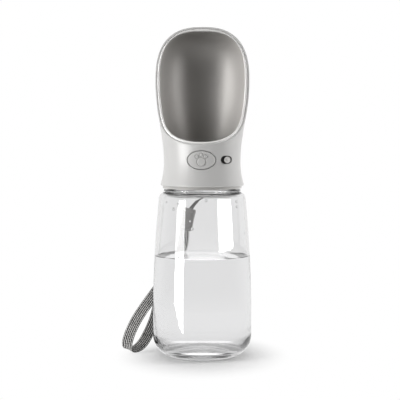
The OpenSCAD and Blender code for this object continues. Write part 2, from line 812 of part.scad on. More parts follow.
// Six round-headed screws that hold the valve and the guide on the deck
module deck_screws() {
    color("silver")
        for (p = screw_places())
            translate(p)
                difference() {
                    union() {
                        cylinder(r = screw_head_r, h = screw_head_t);
                        translate([0, 0, -screw_l])
                            cylinder(r = screw_r, h = screw_l + fit);
                    }
                    for (turn = [0, 90])
                        rotate([0, 0, turn])
                            translate([-cross_l / 2, -cross_t / 2, screw_head_t / 2])
                                cube([cross_l, cross_t, screw_head_t]);
                }
}

// Route of the thin cord: up from the sleeve, through the lug and back down
cord_route = [
    [-10.4, 37.8, 105.2], [-9.2, 37.3, 109.7], [-6.6, 36.6, 113.7], [-3.4, 35.7, 117.7],
    [-1.4, 34.6, 122.2], [-0.5, 33.4, 127.2], [0, 32.7, 131.2], [0, 32.6, 134.8],
    [0, 33.4, 136.9], [0, 35.4, 137.2], [0, 36.9, 135.8], [0, 37.2, 132.2],
    [-0.6, 37.6, 127.2], [-2.0, 38.2, 122.2], [-4.4, 38.7, 117.7], [-8.0, 39.2, 113.7],
    [-11.2, 39.6, 109.7], [-12.2, 39.8, 105.2]
];

// Route of the webbing: out of the sleeve, round the bottle's left side,
// down to the floor and back up behind itself
web_route = [
    [-15.4, 38.6, 97.2], [-15.7, 38.8, 91.2], [-16.2, 39.0, 84.2], [-18, 38.8, 76.2],
    [-21.6, 37.2, 68.2], [-27, 33.4, 59.7], [-32.7, 27.8, 51.6], [-38.6, 21.8, 43.4],
    [-45, 16.2, 34.8], [-50.8, 11, 26.1], [-55.2, 6.8, 17.4], [-57.6, 4.4, 10.2],
    [-57.9, 4.4, 5.6], [-56.4, 6, 3], [-53.4, 9, 2.4], [-49.8, 12, 3.8],
    [-46.2, 15, 7.2], [-43.2, 17.8, 12.2], [-40.2, 20.8, 18.4], [-37.6, 24.6, 25.6],
    [-35.6, 29.4, 34.8], [-32.3, 34.8, 45.5], [-26.8, 39.2, 57.2], [-21.6, 41.9, 68.7],
    [-17.8, 42.4, 80.2], [-15.9, 41.4, 90.2], [-15.6, 40.8, 97.2]
];

// Way that the webbing's width points, at some points of its route
web_across = [
    [0, [0.97, 0.05, -0.2]], [5, [0.62, 0.46, -0.64]], [8, [0.8, -0.1, -0.55]], [11, [0.93, -0.1, -0.3]],
    [14, [0.75, -0.5, -0.35]], [17, [0.87, 0, -0.39]], [21, [0.7, 0.4, -0.5]], [26, [0.97, 0.05, -0.2]]
];

// Width direction of the webbing at point i
function across(i) = [for (k = [0 : 2]) lookup(i, [for (place = web_across) [place[0], place[1][k]]])];

// Direction of a route at its point i
function along(route, i) = unit(route[min(i + 1, len(route) - 1)] - route[max(i - 1, 0)]);

// Thin cord, one loop of it threaded through the lug
module strap_cord() {
    sides = 8;
    count = len(cord_route);
    rings = [for (i = [0 : count - 1])
        let (t = along(cord_route, i), n = unit(cross(t, [1, 0, 0.01])), b = cross(t, n))
        [for (j = [0 : sides - 1]) let (a = 360 * j / sides)
            cord_route[i] + cord_d / 2 * (n * cos(a) - b * sin(a))]];
    color("gray")
        polyhedron([for (ring = rings) each ring], tube_faces(count, sides), convexity = 6);
}

// Flat woven webbing, both ends of it in the sleeve
module strap_webbing() {
    count = len(web_route);
    bevel = web_t / 4;
    outline = [[1, -bevel], [1, bevel], [1 - bevel / web_w * 4, web_t / 2], [-1 + bevel / web_w * 4, web_t / 2],
        [-1, bevel], [-1, -bevel], [-1 + bevel / web_w * 4, -web_t / 2], [1 - bevel / web_w * 4, -web_t / 2]];
    rings = [for (i = [0 : count - 1])
        let (t = along(web_route, i), n = unit(cross(t, across(i))), w = cross(n, t))
        [for (p = outline) web_route[i] + w * p[0] * web_w / 2 + n * p[1]]];
    color("darkgray")
        polyhedron([for (ring = rings) each ring], tube_faces(count, len(outline)), convexity = 6);
}

// Crimped sleeve that joins cord and webbing
module strap_sleeve() {
    top = [-11.1, 38.6, 110.2];
    low = [-14.9, 39.8, 93.2];
    axis = unit(top - low);
    length = norm(top - low);
    corner = sleeve_t / 2 - 0.6;
    color("dimgray")
        translate(low)
            rotate([0, acos(axis[2]), atan2(axis[1], axis[0])])
                rotate([0, 0, -atan2(axis[1], axis[0])])
                    linear_extrude(height = length)
                        polygon(concat(
                            arc(sleeve_w / 2 - corner, sleeve_t / 2 - corner, corner, 0, 90, 4),
                            arc(corner - sleeve_w / 2, sleeve_t / 2 - corner, corner, 90, 180, 4),
                            arc(corner - sleeve_w / 2, corner - sleeve_t / 2, corner, 180, 270, 4),
                            arc(sleeve_w / 2 - corner, corner - sleeve_t / 2, corner, 270, 360, 4)
                        ));
}

bottle();
neck_gasket();
head_shell();
trough_liner();
thread_collar();
valve_body();
valve_gland();
stem_seal();
plunger();
seal_disc();
seal_retainer();
valve_spring();
valve_cap();
cap_seal();
outlet_seal();
button();
lock_slider();
lock_guide();
deck_screws();
strap_cord();
strap_sleeve();
strap_webbing();
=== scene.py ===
# Travel water bottle for dogs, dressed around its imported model. Lengths are in millimetres until a mesh is made.
import math
from functools import partialmethod

import bmesh
import bpy
import numpy as np
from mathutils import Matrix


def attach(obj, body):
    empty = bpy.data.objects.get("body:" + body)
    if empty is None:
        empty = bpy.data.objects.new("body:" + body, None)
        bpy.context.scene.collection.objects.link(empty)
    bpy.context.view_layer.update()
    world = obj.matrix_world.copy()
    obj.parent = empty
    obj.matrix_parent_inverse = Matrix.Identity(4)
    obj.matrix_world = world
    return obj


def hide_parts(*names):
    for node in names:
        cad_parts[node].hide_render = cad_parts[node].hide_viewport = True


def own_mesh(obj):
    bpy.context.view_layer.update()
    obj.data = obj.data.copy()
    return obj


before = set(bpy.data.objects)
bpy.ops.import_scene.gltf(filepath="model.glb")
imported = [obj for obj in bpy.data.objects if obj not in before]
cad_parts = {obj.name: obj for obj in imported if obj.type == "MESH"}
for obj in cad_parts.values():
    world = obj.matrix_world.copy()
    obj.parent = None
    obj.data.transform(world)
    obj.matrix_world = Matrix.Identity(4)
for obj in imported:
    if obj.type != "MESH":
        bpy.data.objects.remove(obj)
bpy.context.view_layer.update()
MM = 0.001

# The camera stands about a metre in front of the bottle, at the height of its valve and a little to the right,
# with a long lens. Places in the picture are pixels of its 400 x 400 frame.
picture_px = 400
lens_px = 1300
camera_back = 0.9898
camera_up = 0.1786
camera_turn = math.radians(1.2)
horizon_px = 122
axis_px = 202.2


def into_scene(name, data):
    made = bpy.data.objects.new(name, data)
    bpy.context.scene.collection.objects.link(made)
    return made


camera_data = bpy.data.cameras.new("camera")
camera_data.sensor_width = 36
camera_data.lens = camera_data.sensor_width * lens_px / picture_px
camera = into_scene("camera", camera_data)
camera.location = (camera_back * math.sin(camera_turn), -camera_back * math.cos(camera_turn), camera_up)
camera.rotation_euler = (
    math.pi / 2 - math.atan((picture_px / 2 - horizon_px) / lens_px),
    0,
    camera_turn + math.atan((axis_px - picture_px / 2) / lens_px),
)
bpy.context.scene.camera = camera

# The thin cord is a braided polyester loop. It leaves the sleeve, runs up through the lug at the head's back and
# comes down again, and both of its ends are crimped in the sleeve.
cord_d = 1.6
cord_route = [
    (-10.4, 37.8, 105.2), (-9.2, 37.3, 109.7), (-6.6, 36.6, 113.7), (-3.4, 35.7, 117.7),
    (-1.4, 34.6, 122.2), (-0.5, 33.4, 127.2), (0, 32.7, 131.2), (0, 32.6, 134.8),
    (0, 33.4, 136.9), (0, 35.4, 137.2), (0, 36.9, 135.8), (0, 37.2, 132.2),
    (-0.6, 37.6, 127.2), (-2.0, 38.2, 122.2), (-4.4, 38.7, 117.7), (-8.0, 39.2, 113.7),
    (-11.2, 39.6, 109.7), (-12.2, 39.8, 105.2),
]
# The first colour is painted shade down between the strands, the second the yarn's own grey.
cord_shade_and_yarn = ((0.055, 0.052, 0.05), (0.17, 0.165, 0.16))


class Value:
    """One value or geometry in a node tree. Sums on it add Math nodes, and add() makes any other node."""

    def __init__(self, tree, socket=None):
        self.tree = tree
        self.socket = socket

    def add(self, kind, settings=None, inputs=None, output=0):
        node = self.tree.nodes.new(kind)
        for key, setting in (settings or {}).items():
            setattr(node, key, setting)
        for key, value in (inputs or {}).items():
            if isinstance(value, Value):
                self.tree.links.new(value.socket, node.inputs[key])
            elif node.inputs[key].type == "RGBA":
                node.inputs[key].default_value = (*value, 1)
            else:
                node.inputs[key].default_value = value
        return Value(self.tree, node.outputs[output] if node.outputs else None)

    def sum(self, operation, *others):
        terms = {i: other for i, other in enumerate((self, *others))}
        return self.add("ShaderNodeMath", {"operation": operation}, terms)

    __add__ = __radd__ = partialmethod(sum, "ADD")
    __sub__ = partialmethod(sum, "SUBTRACT")
    __mul__ = __rmul__ = partialmethod(sum, "MULTIPLY")
    __truediv__ = partialmethod(sum, "DIVIDE")
    __abs__ = partialmethod(sum, "ABSOLUTE")
    sine = partialmethod(sum, "SINE")
    cosine = partialmethod(sum, "COSINE")

    def __rsub__(self, other):
        return (self * -1).sum("ADD", other)

    def step(self, low, high):
        """0 below low, 1 above high and smooth between."""
        settings = {"interpolation_type": "SMOOTHSTEP"}
        return self.add("ShaderNodeMapRange", settings, {"Value": self, "From Min": low, "From Max": high})

    def mix(self, low, high):
        """The colour low where this is 0, and high where it is 1."""
        inputs = {0: self, 6: low, 7: high}
        return self.add("ShaderNodeMix", {"data_type": "RGBA"}, inputs, output=2)

    def around(self, colour, spread):
        """The colour, a share darker where this is 0 and a share lighter where it is 1."""
        return self.mix(*(tuple(c * share for c in colour) for share in (1 - spread, 1 + spread)))

    def limit(self):
        """This, kept between 0 and 1."""
        return self.add("ShaderNodeMath", {"operation": "ADD", "use_clamp": True}, {0: self, 1: 0})

    def parts(self):
        split = self.add("ShaderNodeSeparateXYZ", inputs={0: self})
        return [Value(self.tree, socket) for socket in split.socket.node.outputs]

    def point(self, y, z):
        return self.add("ShaderNodeCombineXYZ", inputs={"X": self, "Y": y, "Z": z})

    def stored(self, name, field, kind="FLOAT"):
        """This geometry with a field kept on its points."""
        inputs = {"Geometry": self, "Name": name, "Value": field}
        return self.add("GeometryNodeStoreNamedAttribute", {"data_type": kind, "domain": "POINT"}, inputs)

    def kept(self, name, kind="FLOAT"):
        return self.add("GeometryNodeInputNamedAttribute", {"data_type": kind}, {"Name": name})

    def read(self, name):
        """In a material, a field that was kept on the piece's points."""
        return self.add("ShaderNodeAttribute", {"attribute_name": name}, output=2)

    def placed(self, position):
        return self.add("GeometryNodeSetPosition", inputs={"Geometry": self, "Position": position})

    def raised(self, amount):
        """This geometry with its skin shifted outwards."""
        way = self.add("GeometryNodeInputNormal")
        offset = self.add("ShaderNodeVectorMath", {"operation": "SCALE"}, {0: way, "Scale": amount})
        return self.add("GeometryNodeSetPosition", inputs={"Geometry": self, "Offset": offset})

    def circle(self, corners, radius=1.0):
        return self.add("GeometryNodeCurvePrimitiveCircle", inputs={"Resolution": corners, "Radius": radius})

    def swept(self, outline):
        """The closed skin that an outline makes along this curve."""
        inputs = {"Curve": self, "Profile Curve": outline, "Fill Caps": True}
        return self.add("GeometryNodeCurveToMesh", inputs=inputs)


def material(name):
    """A Value in a new material's empty tree, which knows its material."""
    made = bpy.data.materials.new(name)
    made.use_nodes = True
    made.node_tree.nodes.clear()
    shade = Value(made.node_tree)
    shade.material = made
    return shade


def finished(shade, wired):
    shade.add("ShaderNodeOutputMaterial", inputs={"Surface": wired})
    return shade.material


def surface(shade, height, relief, **sockets):
    """The finished material: a Principled surface with a bump of relief metres."""
    inputs = {key.replace("_", " "): value for key, value in sockets.items()}
    bump = {"Strength": 1.0, "Distance": relief, "Height": height}
    inputs["Normal"] = shade.add("ShaderNodeBump", inputs=bump)
    return finished(shade, shade.add("ShaderNodeBsdfPrincipled", inputs=inputs))


def noise(shade, scale, detail=2.0):
    place = shade.add("ShaderNodeTexCoord", output=3)
    return shade.add("ShaderNodeTexNoise", inputs={"Vector": place, "Scale": scale, "Detail": detail})


def dress(mesh, body, nodes=(), crease=40):
    work = bmesh.new()
    work.from_mesh(mesh)
    bmesh.ops.scale(work, vec=(MM, MM, MM), verts=work.verts)
    bmesh.ops.remove_doubles(work, verts=work.verts, dist=2e-6)
    bmesh.ops.recalc_face_normals(work, faces=work.faces)
    work.to_mesh(mesh)
    work.free()
    mesh.shade_smooth()
    mesh.set_sharp_from_angle(angle=math.radians(crease))
    made = into_scene(mesh.name, mesh)
    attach(made, body)
    if nodes:
        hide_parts(*nodes)
    return made


def spline(points, per_span):
    """A smooth line through points, with per_span steps between two of them."""
    p = np.asarray(points, float)
    p = np.vstack([2 * p[0] - p[1], p, 2 * p[-1] - p[-2]])
    line = []
    for a, b, c, d in zip(p, p[1:], p[2:], p[3:]):
        for t in np.arange(per_span) / per_span:
            line.append(0.5 * (2 * b + (c - a) * t + (2 * a - 5 * b + 4 * c - d) * t**2
                               + (3 * b - a - 3 * c + d) * t**3))
    return np.array(line + [p[-2]])


def lengths(line):
    return np.concatenate([[0], np.cumsum(np.linalg.norm(np.diff(line, axis=0), axis=1))])


def line_mesh(points):
    mesh = bpy.data.meshes.new("line")
    mesh.from_pydata([tuple(p) for p in points], [(i, i + 1) for i in range(len(points) - 1)], [])
    return mesh


def grow(name, start, sizes, build, finish):
    """A plain mesh that a Geometry Nodes tree grows from a starting mesh. build() joins up the nodes between the
    tree's named inputs and its last two, and the lengths in it are millimetres."""
    tree = bpy.data.node_groups.new(name, "GeometryNodeTree")
    tree.interface.new_socket("Start", in_out="INPUT", socket_type="NodeSocketGeometry")
    tree.interface.new_socket("Mesh", in_out="OUTPUT", socket_type="NodeSocketGeometry")
    for key, size in sizes.items():
        kind = "NodeSocketInt" if isinstance(size, int) else "NodeSocketFloat"
        tree.interface.new_socket(key, in_out="INPUT", socket_type=kind)
    entry = tree.nodes.new("NodeGroupInput")
    grown = build({socket.name: Value(tree, socket) for socket in entry.outputs if socket.name})
    grown = grown.add("GeometryNodeRealizeInstances", inputs={"Geometry": grown})
    grown = grown.add("GeometryNodeSetMaterial", inputs={"Geometry": grown, "Material": finish})
    grown.add("NodeGroupOutput", inputs={"Mesh": grown})
    holder = into_scene(name, start)
    modifier = holder.modifiers.new(name, "NODES")
    modifier.node_group = tree
    for item in tree.interface.items_tree:
        if item.in_out == "INPUT" and item.name in sizes:
            modifier[item.identifier] = sizes[item.name]
    mesh = bpy.data.meshes.new_from_object(holder.evaluated_get(bpy.context.evaluated_depsgraph_get()))
    holder.modifiers.remove(modifier)
    bpy.data.objects.remove(holder)
    mesh.name = name
    return mesh


def path_of(given):
    """The starting line as a curve with even steps, each of which knows its distance from the start."""
    path = given["Start"].add("GeometryNodeMeshToCurve", inputs={"Mesh": given["Start"]})
    path = path.add("GeometryNodeResampleCurve", {"mode": "LENGTH"}, {"Curve": path, "Length": given["Step"]})
    return path.stored("along", path.add("GeometryNodeSplineParameter", output=1))


def braid_tree(given):
    """Round tube whose skin rises where two sets of strands, wound opposite ways, cross."""
    outline = given["Start"].circle(32, given["Diameter"] * 0.5 - given["Relief"])
    skin = path_of(given).swept(outline.stored("turn", outline.add("GeometryNodeSplineParameter")))
    wind = skin.kept("turn") * given["Strands"] * math.tau
    climb = skin.kept("along") * math.tau / given["Pitch"]
    weave = (wind + climb).sine() * (wind - climb).sine() * 0.5 + 0.5
    skin = skin.stored("weave", weave)
    return skin.raised(skin.kept("weave") * given["Relief"])


def braided(name, shade_and_yarn):
    """Dark yarn, with painted shade down between the strands."""
    shade = material(name)
    return surface(shade, noise(shade, 9000), 0.00003, Base_Color=shade.read("weave").step(0.1, 0.9).mix(*shade_and_yarn),
                   Roughness=0.75, Sheen_Weight=0.3, Sheen_Roughness=0.5)


cord_line = spline(cord_route, 8)
cord_sizes = {"Diameter": cord_d, "Relief": 0.14, "Strands": 4, "Pitch": 2.4, "Step": 0.16}
cord_mesh = grow("strap_cord_braid", line_mesh(cord_line), cord_sizes, braid_tree, braided("cord_yarn", cord_shade_and_yarn))
cord = dress(cord_mesh, "head", ["strap_cord"])

# The wrist strap is flat woven polyester webbing, ribbed along its length. It runs from the sleeve round the
# bottle's left side to the floor and back up behind itself, and both of its ends are crimped in the sleeve.
web_w = 8.4
web_route = [
    (-15.4, 38.6, 97.2), (-15.7, 38.8, 91.2), (-16.2, 39.0, 84.2), (-18, 38.8, 76.2),
    (-21.6, 37.2, 68.2), (-27, 33.4, 59.7), (-32.7, 27.8, 51.6), (-38.6, 21.8, 43.4),
    (-45, 16.2, 34.8), (-50.8, 11, 26.1), (-55.2, 6.8, 17.4), (-57.6, 4.4, 10.2),
    (-57.9, 4.4, 5.6), (-56.4, 6, 3), (-53.4, 9, 2.4), (-49.8, 12, 3.8),
    (-46.2, 15, 7.2), (-43.2, 17.8, 12.2), (-40.2, 20.8, 18.4), (-37.6, 24.6, 25.6),
    (-35.6, 29.4, 34.8), (-32.3, 34.8, 45.5), (-26.8, 39.2, 57.2), (-21.6, 41.9, 68.7),
    (-17.8, 42.4, 80.2), (-15.9, 41.4, 90.2), (-15.6, 40.8, 97.2),
]
web_across = {
    0: (0.97, 0.05, -0.2), 5: (0.62, 0.46, -0.64), 8: (0.8, -0.1, -0.55), 11: (0.93, -0.1, -0.3),
    14: (0.75, -0.5, -0.35), 17: (0.87, 0, -0.39), 21: (0.7, 0.4, -0.5), 26: (0.97, 0.05, -0.2),
}
web_per_span = 14


def unit(v):
    v = np.asarray(v, float)
    return v / np.linalg.norm(v)


def directions(line):
    ends = np.vstack([line[1] - line[0], line[2:] - line[:-2], line[-1] - line[-2]])
    return np.array([unit(v) for v in ends])


web_line = spline(web_route, web_per_span)
web_steps = np.arange(len(web_line)) / web_per_span
web_wide = np.array([np.interp(web_steps, list(web_across), [v[k] for v in web_across.values()]) for k in range(3)]).T
web_ways = directions(web_line)
web_wide = np.array([unit(v - way * v.dot(way)) for v, way in zip(web_wide, web_ways)])


def webbing_tree(given):
    """Flat band with rounded ribs on both faces, turned as the starting line says and crossed by fine picks."""
    path = path_of(given)
    wide = path.kept("wide", "FLOAT_VECTOR")
    path = path.add("GeometryNodeSetCurveNormal", {"mode": "FREE"}, {"Curve": path, "Normal": wide})
    outline = path.circle(given["Ribs"] * 16)
    turn = outline.add("GeometryNodeSplineParameter")
    outline = outline.stored("across", abs(turn * 2 - 1) * 2 - 1)

    def ribs(across):
        return abs(((across * 0.5 + 0.5) * given["Ribs"] * math.pi).sine())

    across = outline.kept("across")
    hill = ribs(across).sum("POWER", given["Rib squareness"])
    tall = given["Thickness"] * 0.5 - given["Rib height"] + hill * given["Rib height"]
    edge = (1 - across.sum("POWER", given["Edge squareness"])).sum("MAXIMUM", 0).sum("SQRT")
    tall = tall * edge * (0.5 - turn).sum("SIGN")
    skin = path.swept(outline.placed((across * given["Width"] * 0.5).point(tall, 0)))
    rib = ribs(skin.kept("across"))
    pick = (skin.kept("along") * math.tau / given["Pick pitch"] + rib * given["Pick slant"]).sine() * 0.5 + 0.5
    skin = skin.stored("rib", rib).stored("pick", pick)
    return skin.raised(skin.kept("pick") * skin.kept("rib") * given["Pick height"])


def woven(name):
    """Ribs of light yarn, near black down between them, and crossed by fine picks with painted shade between those."""
    shade = material(name)
    # The picks' share is painted shade, a share darker down between them.
    tone = shade.read("rib").step(0.6, 0.85) * (shade.read("pick").step(0.1, 0.7) * 0.35 + 0.65)
    colour = (tone * (noise(shade, 120) * 0.3 + 0.85)).mix((0.006, 0.006, 0.006), (0.86, 0.85, 0.83))
    return surface(shade, noise(shade, 9000), 0.00004, Base_Color=colour, Roughness=0.5, Sheen_Weight=0.2,
                   Sheen_Roughness=0.4)


web_start = line_mesh(web_line)
web_start.attributes.new("wide", "FLOAT_VECTOR", "POINT").data.foreach_set("vector", web_wide.ravel())
web_sizes = {"Width": web_w, "Thickness": 1.0, "Edge squareness": 16.0, "Ribs": 6, "Rib height": 0.2,
             "Rib squareness": 0.7, "Pick pitch": 1.8, "Pick height": 0.05, "Pick slant": 2.4, "Step": 0.4}
web_mesh = grow("strap_webbing_woven", web_start, web_sizes, webbing_tree, woven("webbing_yarn"))
webbing = dress(web_mesh, "head", ["strap_webbing"], crease=75)

# The sleeve is a dark grey tube of moulded plastic, flattened and a little waisted. It is crimped over the ends of
# cord and webbing, and two grooves near each end bite into them.
sleeve_w = 11.0
sleeve_t = 5.0
sleeve_square = 3.2
sleeve_top = np.array((-11.1, 38.6, 110.2))
sleeve_low = np.array((-14.9, 39.8, 93.2))
sleeve_half = ((0, 0.80), (0.012, 0.90), (0.04, 0.97), (0.08, 1.0), (0.16, 1.0), (0.18, 0.955), (0.21, 0.955),
               (0.23, 1.0), (0.30, 0.985))


class Form:
    """Points, faces and, where a pattern needs them, UV places of one piece."""

    def __init__(self):
        self.points = []
        self.faces = []
        self.places = []

    def row(self, points):
        start = len(self.points)
        self.points.extend(tuple(float(c) for c in p) for p in points)
        self.places.extend([(0, 0)] * len(points))
        return list(range(start, len(self.points)))

    def join(self, a, b, loop=False, skip=()):
        """Quads between two rows of as many points."""
        count = len(a)
        for i in range(count if loop else count - 1):
            if i not in skip:
                j = (i + 1) % count
                self.faces.append((a[i], a[j], b[j], b[i]))

    def chain(self, rows, loop=True):
        for a, b in zip(rows, rows[1:]):
            self.join(a, b, loop)

    def close(self, row, tip):
        """Triangles from a closed row to one point."""
        end = self.row([tip])[0]
        for i, p in enumerate(row):
            self.faces.append((p, row[(i + 1) % len(row)], end))


def piece(name, form, body, finish, nodes=(), crease=40):
    """A finished mesh in metres, riding on its body and standing for its nodes."""
    mesh = bpy.data.meshes.new(name)
    mesh.from_pydata(form.points, [], form.faces)
    layer = mesh.uv_layers.new(name="UVMap")
    for loop in mesh.loops:
        layer.data[loop.index].uv = form.places[loop.vertex_index]
    mesh.materials.append(finish)
    return dress(mesh, body, nodes, crease)


def satin(name, colour, roughness, relief=0.00001, coat=0.0, speck=0.06):
    """Moulded plastic: one colour with a trace of cloud in it, and the fine grain of the mould."""
    shade = material(name)
    fine = noise(shade, 900, 3.0)
    return surface(shade, fine, relief, Base_Color=noise(shade, 45).around(colour, speck),
                   Roughness=fine * 0.08 + (roughness - 0.04), Coat_Weight=coat, Coat_Roughness=0.08)


def sleeve_form():
    form = Form()
    axis = unit(sleeve_top - sleeve_low)
    length = np.linalg.norm(sleeve_top - sleeve_low)
    side = unit(np.cross((0, 1, 0), axis))
    back = np.cross(axis, side)
    corners = 48
    rows = []
    for t, narrow in (*sleeve_half, (0.5, 0.96), *((1 - t, narrow) for t, narrow in sleeve_half[::-1])):
        ring = []
        for i in range(corners):
            a = math.tau * i / corners
            c, s = math.cos(a), math.sin(a)
            reach = (abs(c) ** sleeve_square + abs(s) ** sleeve_square) ** (-1 / sleeve_square) * narrow
            across = side * c * reach * sleeve_w / 2 + back * s * reach * sleeve_t / 2
            ring.append(sleeve_low + axis * length * t + across)
        rows.append(form.row(ring))
    form.chain(rows)
    form.close(rows[0], sleeve_low)
    form.close(rows[-1], sleeve_top)
    return form


sleeve_finish = satin("sleeve_plastic", (0.3, 0.295, 0.285), 0.35)
piece("strap_sleeve_crimped", sleeve_form(), "head", sleeve_finish, ["strap_sleeve"])

# The bottle is blown from clear copolyester: a thick rounded base with a domed underside, a tapered side, a
# shoulder, and a neck with a bead and a thread. It is one wall all round, and its thread is part of the outside.
base_round = 16.0
bottle_r = 37.6
shoulder_r = 33.1
shoulder_z = 125.4
shoulder_round = 5.0
taper_z = 41.0
taper_power = 1.6
bottle_wall = 1.8
base_t = 7.0
base_rise = ((0, 1.2), (7, 1.05), (14, 0.7), (20, 0.35))
inner_round = 12.0
neck_r = 24.0
neck_bore = 22.0
bead_z = 126.2
bead_r = 29.3
bead_t = 1.4
lip_z = 139.1
root_r = 28.5
punt = 6.0
punt_ridge = 0.25
punt_ridge_turn = 1.9
punt_ridge_r = 16.0
turned_sizes = {"Sides": 192, "Thread height": 130.8, "Thread pitch": 4.5, "Thread turns": 1.3, "Thread depth": 1.4}


def side_r(z):
    fall = (z - taper_z) / (shoulder_z - shoulder_round - taper_z)
    return bottle_r - (bottle_r - shoulder_r) * max(0, fall) ** taper_power


def arc(cx, cz, r, start, end, steps):
    angles = np.radians(np.linspace(start, end, steps + 1))
    return [(cx + r * math.cos(a), cz + r * math.sin(a)) for a in angles]


def rounded(corners, radius, steps=4):
    """A line through corners with each inner one rounded."""
    line = [corners[0]]
    for before, corner, after in zip(corners, corners[1:], corners[2:]):
        a, c, b = (np.array(p, float) for p in (before, corner, after))
        r = min(radius, np.linalg.norm(a - c) / 2.1, np.linalg.norm(b - c) / 2.1)
        start, end = c + unit(a - c) * r, c + unit(b - c) * r
        for t in np.linspace(0, 1, steps + 1):
            line.append(tuple((1 - t) ** 2 * start + 2 * t * (1 - t) * c + t**2 * end))
    return line + [corners[-1]]


def turned_tree(given):
    """Turns the starting outline about the axis. Where the outline is marked, a thread stands out from it."""
    start = given["Start"]
    count = start.add("GeometryNodeAttributeDomainSize", {"component": "MESH"}, {"Geometry": start})
    grid = start.add("GeometryNodeMeshGrid", inputs={"Vertices X": given["Sides"] + 1, "Vertices Y": count})
    place = start.add("GeometryNodeInputPosition")
    across, up, _ = place.parts()
    turn = across + 0.5
    row = (up + 0.5) * (count - 1) + 0.5

    def outline(field, kind):
        inputs = {"Geometry": start, "Value": field, "Index": row}
        return start.add("GeometryNodeSampleIndex", {"data_type": kind, "domain": "POINT"}, inputs)

    reach, _, height = outline(place, "FLOAT_VECTOR").parts()
    thread = 0
    for lap in (-1, 0, 1, 2):
        wound = turn + lap
        off = abs(height - given["Thread height"] - wound * given["Thread pitch"])
        hill = ((1 - off) * 2).limit() * (wound * 10 + 0.5).limit()
        thread = (hill * ((given["Thread turns"] - wound) * 10 + 0.5).limit()).sum("MAXIMUM", thread)
    reach = reach + thread * given["Thread depth"] * outline(start.kept("threaded"), "FLOAT")
    angle = turn * math.tau
    skin = grid.placed((reach * angle.cosine()).point(reach * angle.sine(), height))
    return skin.add("GeometryNodeMergeByDistance", inputs={"Geometry": skin, "Distance": 0.001})


def outline_mesh(profile, threaded=()):
    """Starting outline of a turned piece, from places (radius, height)."""
    mesh = line_mesh([(r, 0, z) for r, z in profile])
    marks = mesh.attributes.new("threaded", "FLOAT", "POINT")
    marks.data.foreach_set("value", [1.0 if i in threaded else 0.0 for i in range(len(profile))])
    return mesh


def bottle_outline():
    shoulder_mid = (shoulder_r - shoulder_round, shoulder_z - shoulder_round)
    side_zs = np.linspace(taper_z, shoulder_mid[1], 24)
    foot_r = bottle_r - base_round

    def underside(r):
        """A dome with low ridges round its middle."""
        ridge = punt_ridge * math.sin(r * punt_ridge_turn) ** 2 if r < punt_ridge_r else 0
        return punt * (1 - (r / foot_r) ** 2) ** 1.5 + ridge

    outside = [(r, underside(r)) for r in np.linspace(0, foot_r - 0.6, 44)]
    outside += arc(foot_r, base_round, base_round, -90, 0, 18)
    outside += [(bottle_r, z) for z in np.linspace(base_round, taper_z, 7)[1:-1]]
    outside += [(side_r(z), z) for z in side_zs]
    outside += arc(*shoulder_mid, shoulder_round, 8, 82, 10)
    outside += rounded([(root_r + 1.6, shoulder_z), (root_r, shoulder_z + 0.1), (root_r, bead_z),
                        (bead_r, bead_z), (bead_r, bead_z + bead_t), (neck_r, bead_z + bead_t),
                        (neck_r, bead_z + bead_t + 0.8)], 0.65)
    neck = [(neck_r, z) for z in np.arange(bead_z + bead_t + 1.0, lip_z - 0.6, 0.25)]
    lip = rounded([(neck_r, lip_z - 0.5), (neck_r, lip_z), (neck_bore, lip_z), (neck_bore, lip_z - 0.8)], 0.4)
    inner_r = bottle_r - bottle_wall
    inside = [(neck_bore, z) for z in np.linspace(lip_z - 1.5, shoulder_z, 6)]
    inside += rounded([(neck_bore, shoulder_z - 0.4), (neck_bore, shoulder_z - bottle_wall),
                       (neck_bore + 2.2, shoulder_z - bottle_wall)], 0.9)
    inside += arc(*shoulder_mid, shoulder_round - bottle_wall, 84, 10, 8)
    inside += [(side_r(z) - bottle_wall, z) for z in side_zs[::-1]]
    inside += [(inner_r, z) for z in np.linspace(taper_z, base_t + inner_round, 8)[1:-1]]
    inside += arc(inner_r - inner_round, base_t + inner_round, inner_round, 0, -84, 14)
    inside += [(r, base_t + rise) for r, rise in base_rise[::-1]]
    return outline_mesh(outside + neck + lip + inside, range(len(outside) + 1, len(outside) + len(neck) - 1))


def clear(name, ior, ripple):
    """Clear stuff with a polished skin that is a trace uneven."""
    shade = material(name)
    return surface(shade, noise(shade, 28, 1.0), ripple, Base_Color=(0.99, 0.99, 0.992), Roughness=0.0, IOR=ior,
                   Transmission_Weight=1.0)


bottle_finish = clear("bottle_clear", 1.5, 0.00006)
bottle_mesh = grow("bottle_blown", bottle_outline(), turned_sizes, turned_tree, bottle_finish)
bottle = dress(bottle_mesh, "bottle", ["bottle"], crease=50)

# The photograph shows the bottle half full. The water reaches a little into the wall, so that light passes from
# one to the other with no film of air, and it climbs the wall in a small meniscus.
water_z = 76.3
into_wall = 0.04
meniscus = 1.1


def water_outline():
    inner_r = bottle_r - bottle_wall + into_wall
    edge_z = water_z + meniscus
    top_r = side_r(edge_z) - bottle_wall + into_wall
    low = base_t - into_wall
    profile = [(r, low + rise) for r, rise in base_rise]
    profile += arc(inner_r - inner_round, low + inner_round, inner_round, -84, 0, 14)
    profile += [(inner_r, z) for z in np.linspace(low + inner_round, taper_z, 6)[1:]]
    profile += [(side_r(z) - bottle_wall + into_wall, z) for z in np.linspace(taper_z, edge_z, 14)[1:]]
    steps = (0.12, 0.3, 0.6, 1, 1.5, 2.2, 3, 4.5, 7, 14, 22)
    profile += [(top_r - d, water_z + meniscus * math.exp(-d / 1.1)) for d in steps]
    return outline_mesh(profile + [(0, water_z)])


water_finish = clear("water", 1.333, 0.00003)
water = dress(grow("water_fill", water_outline(), turned_sizes, turned_tree, water_finish), "bottle")

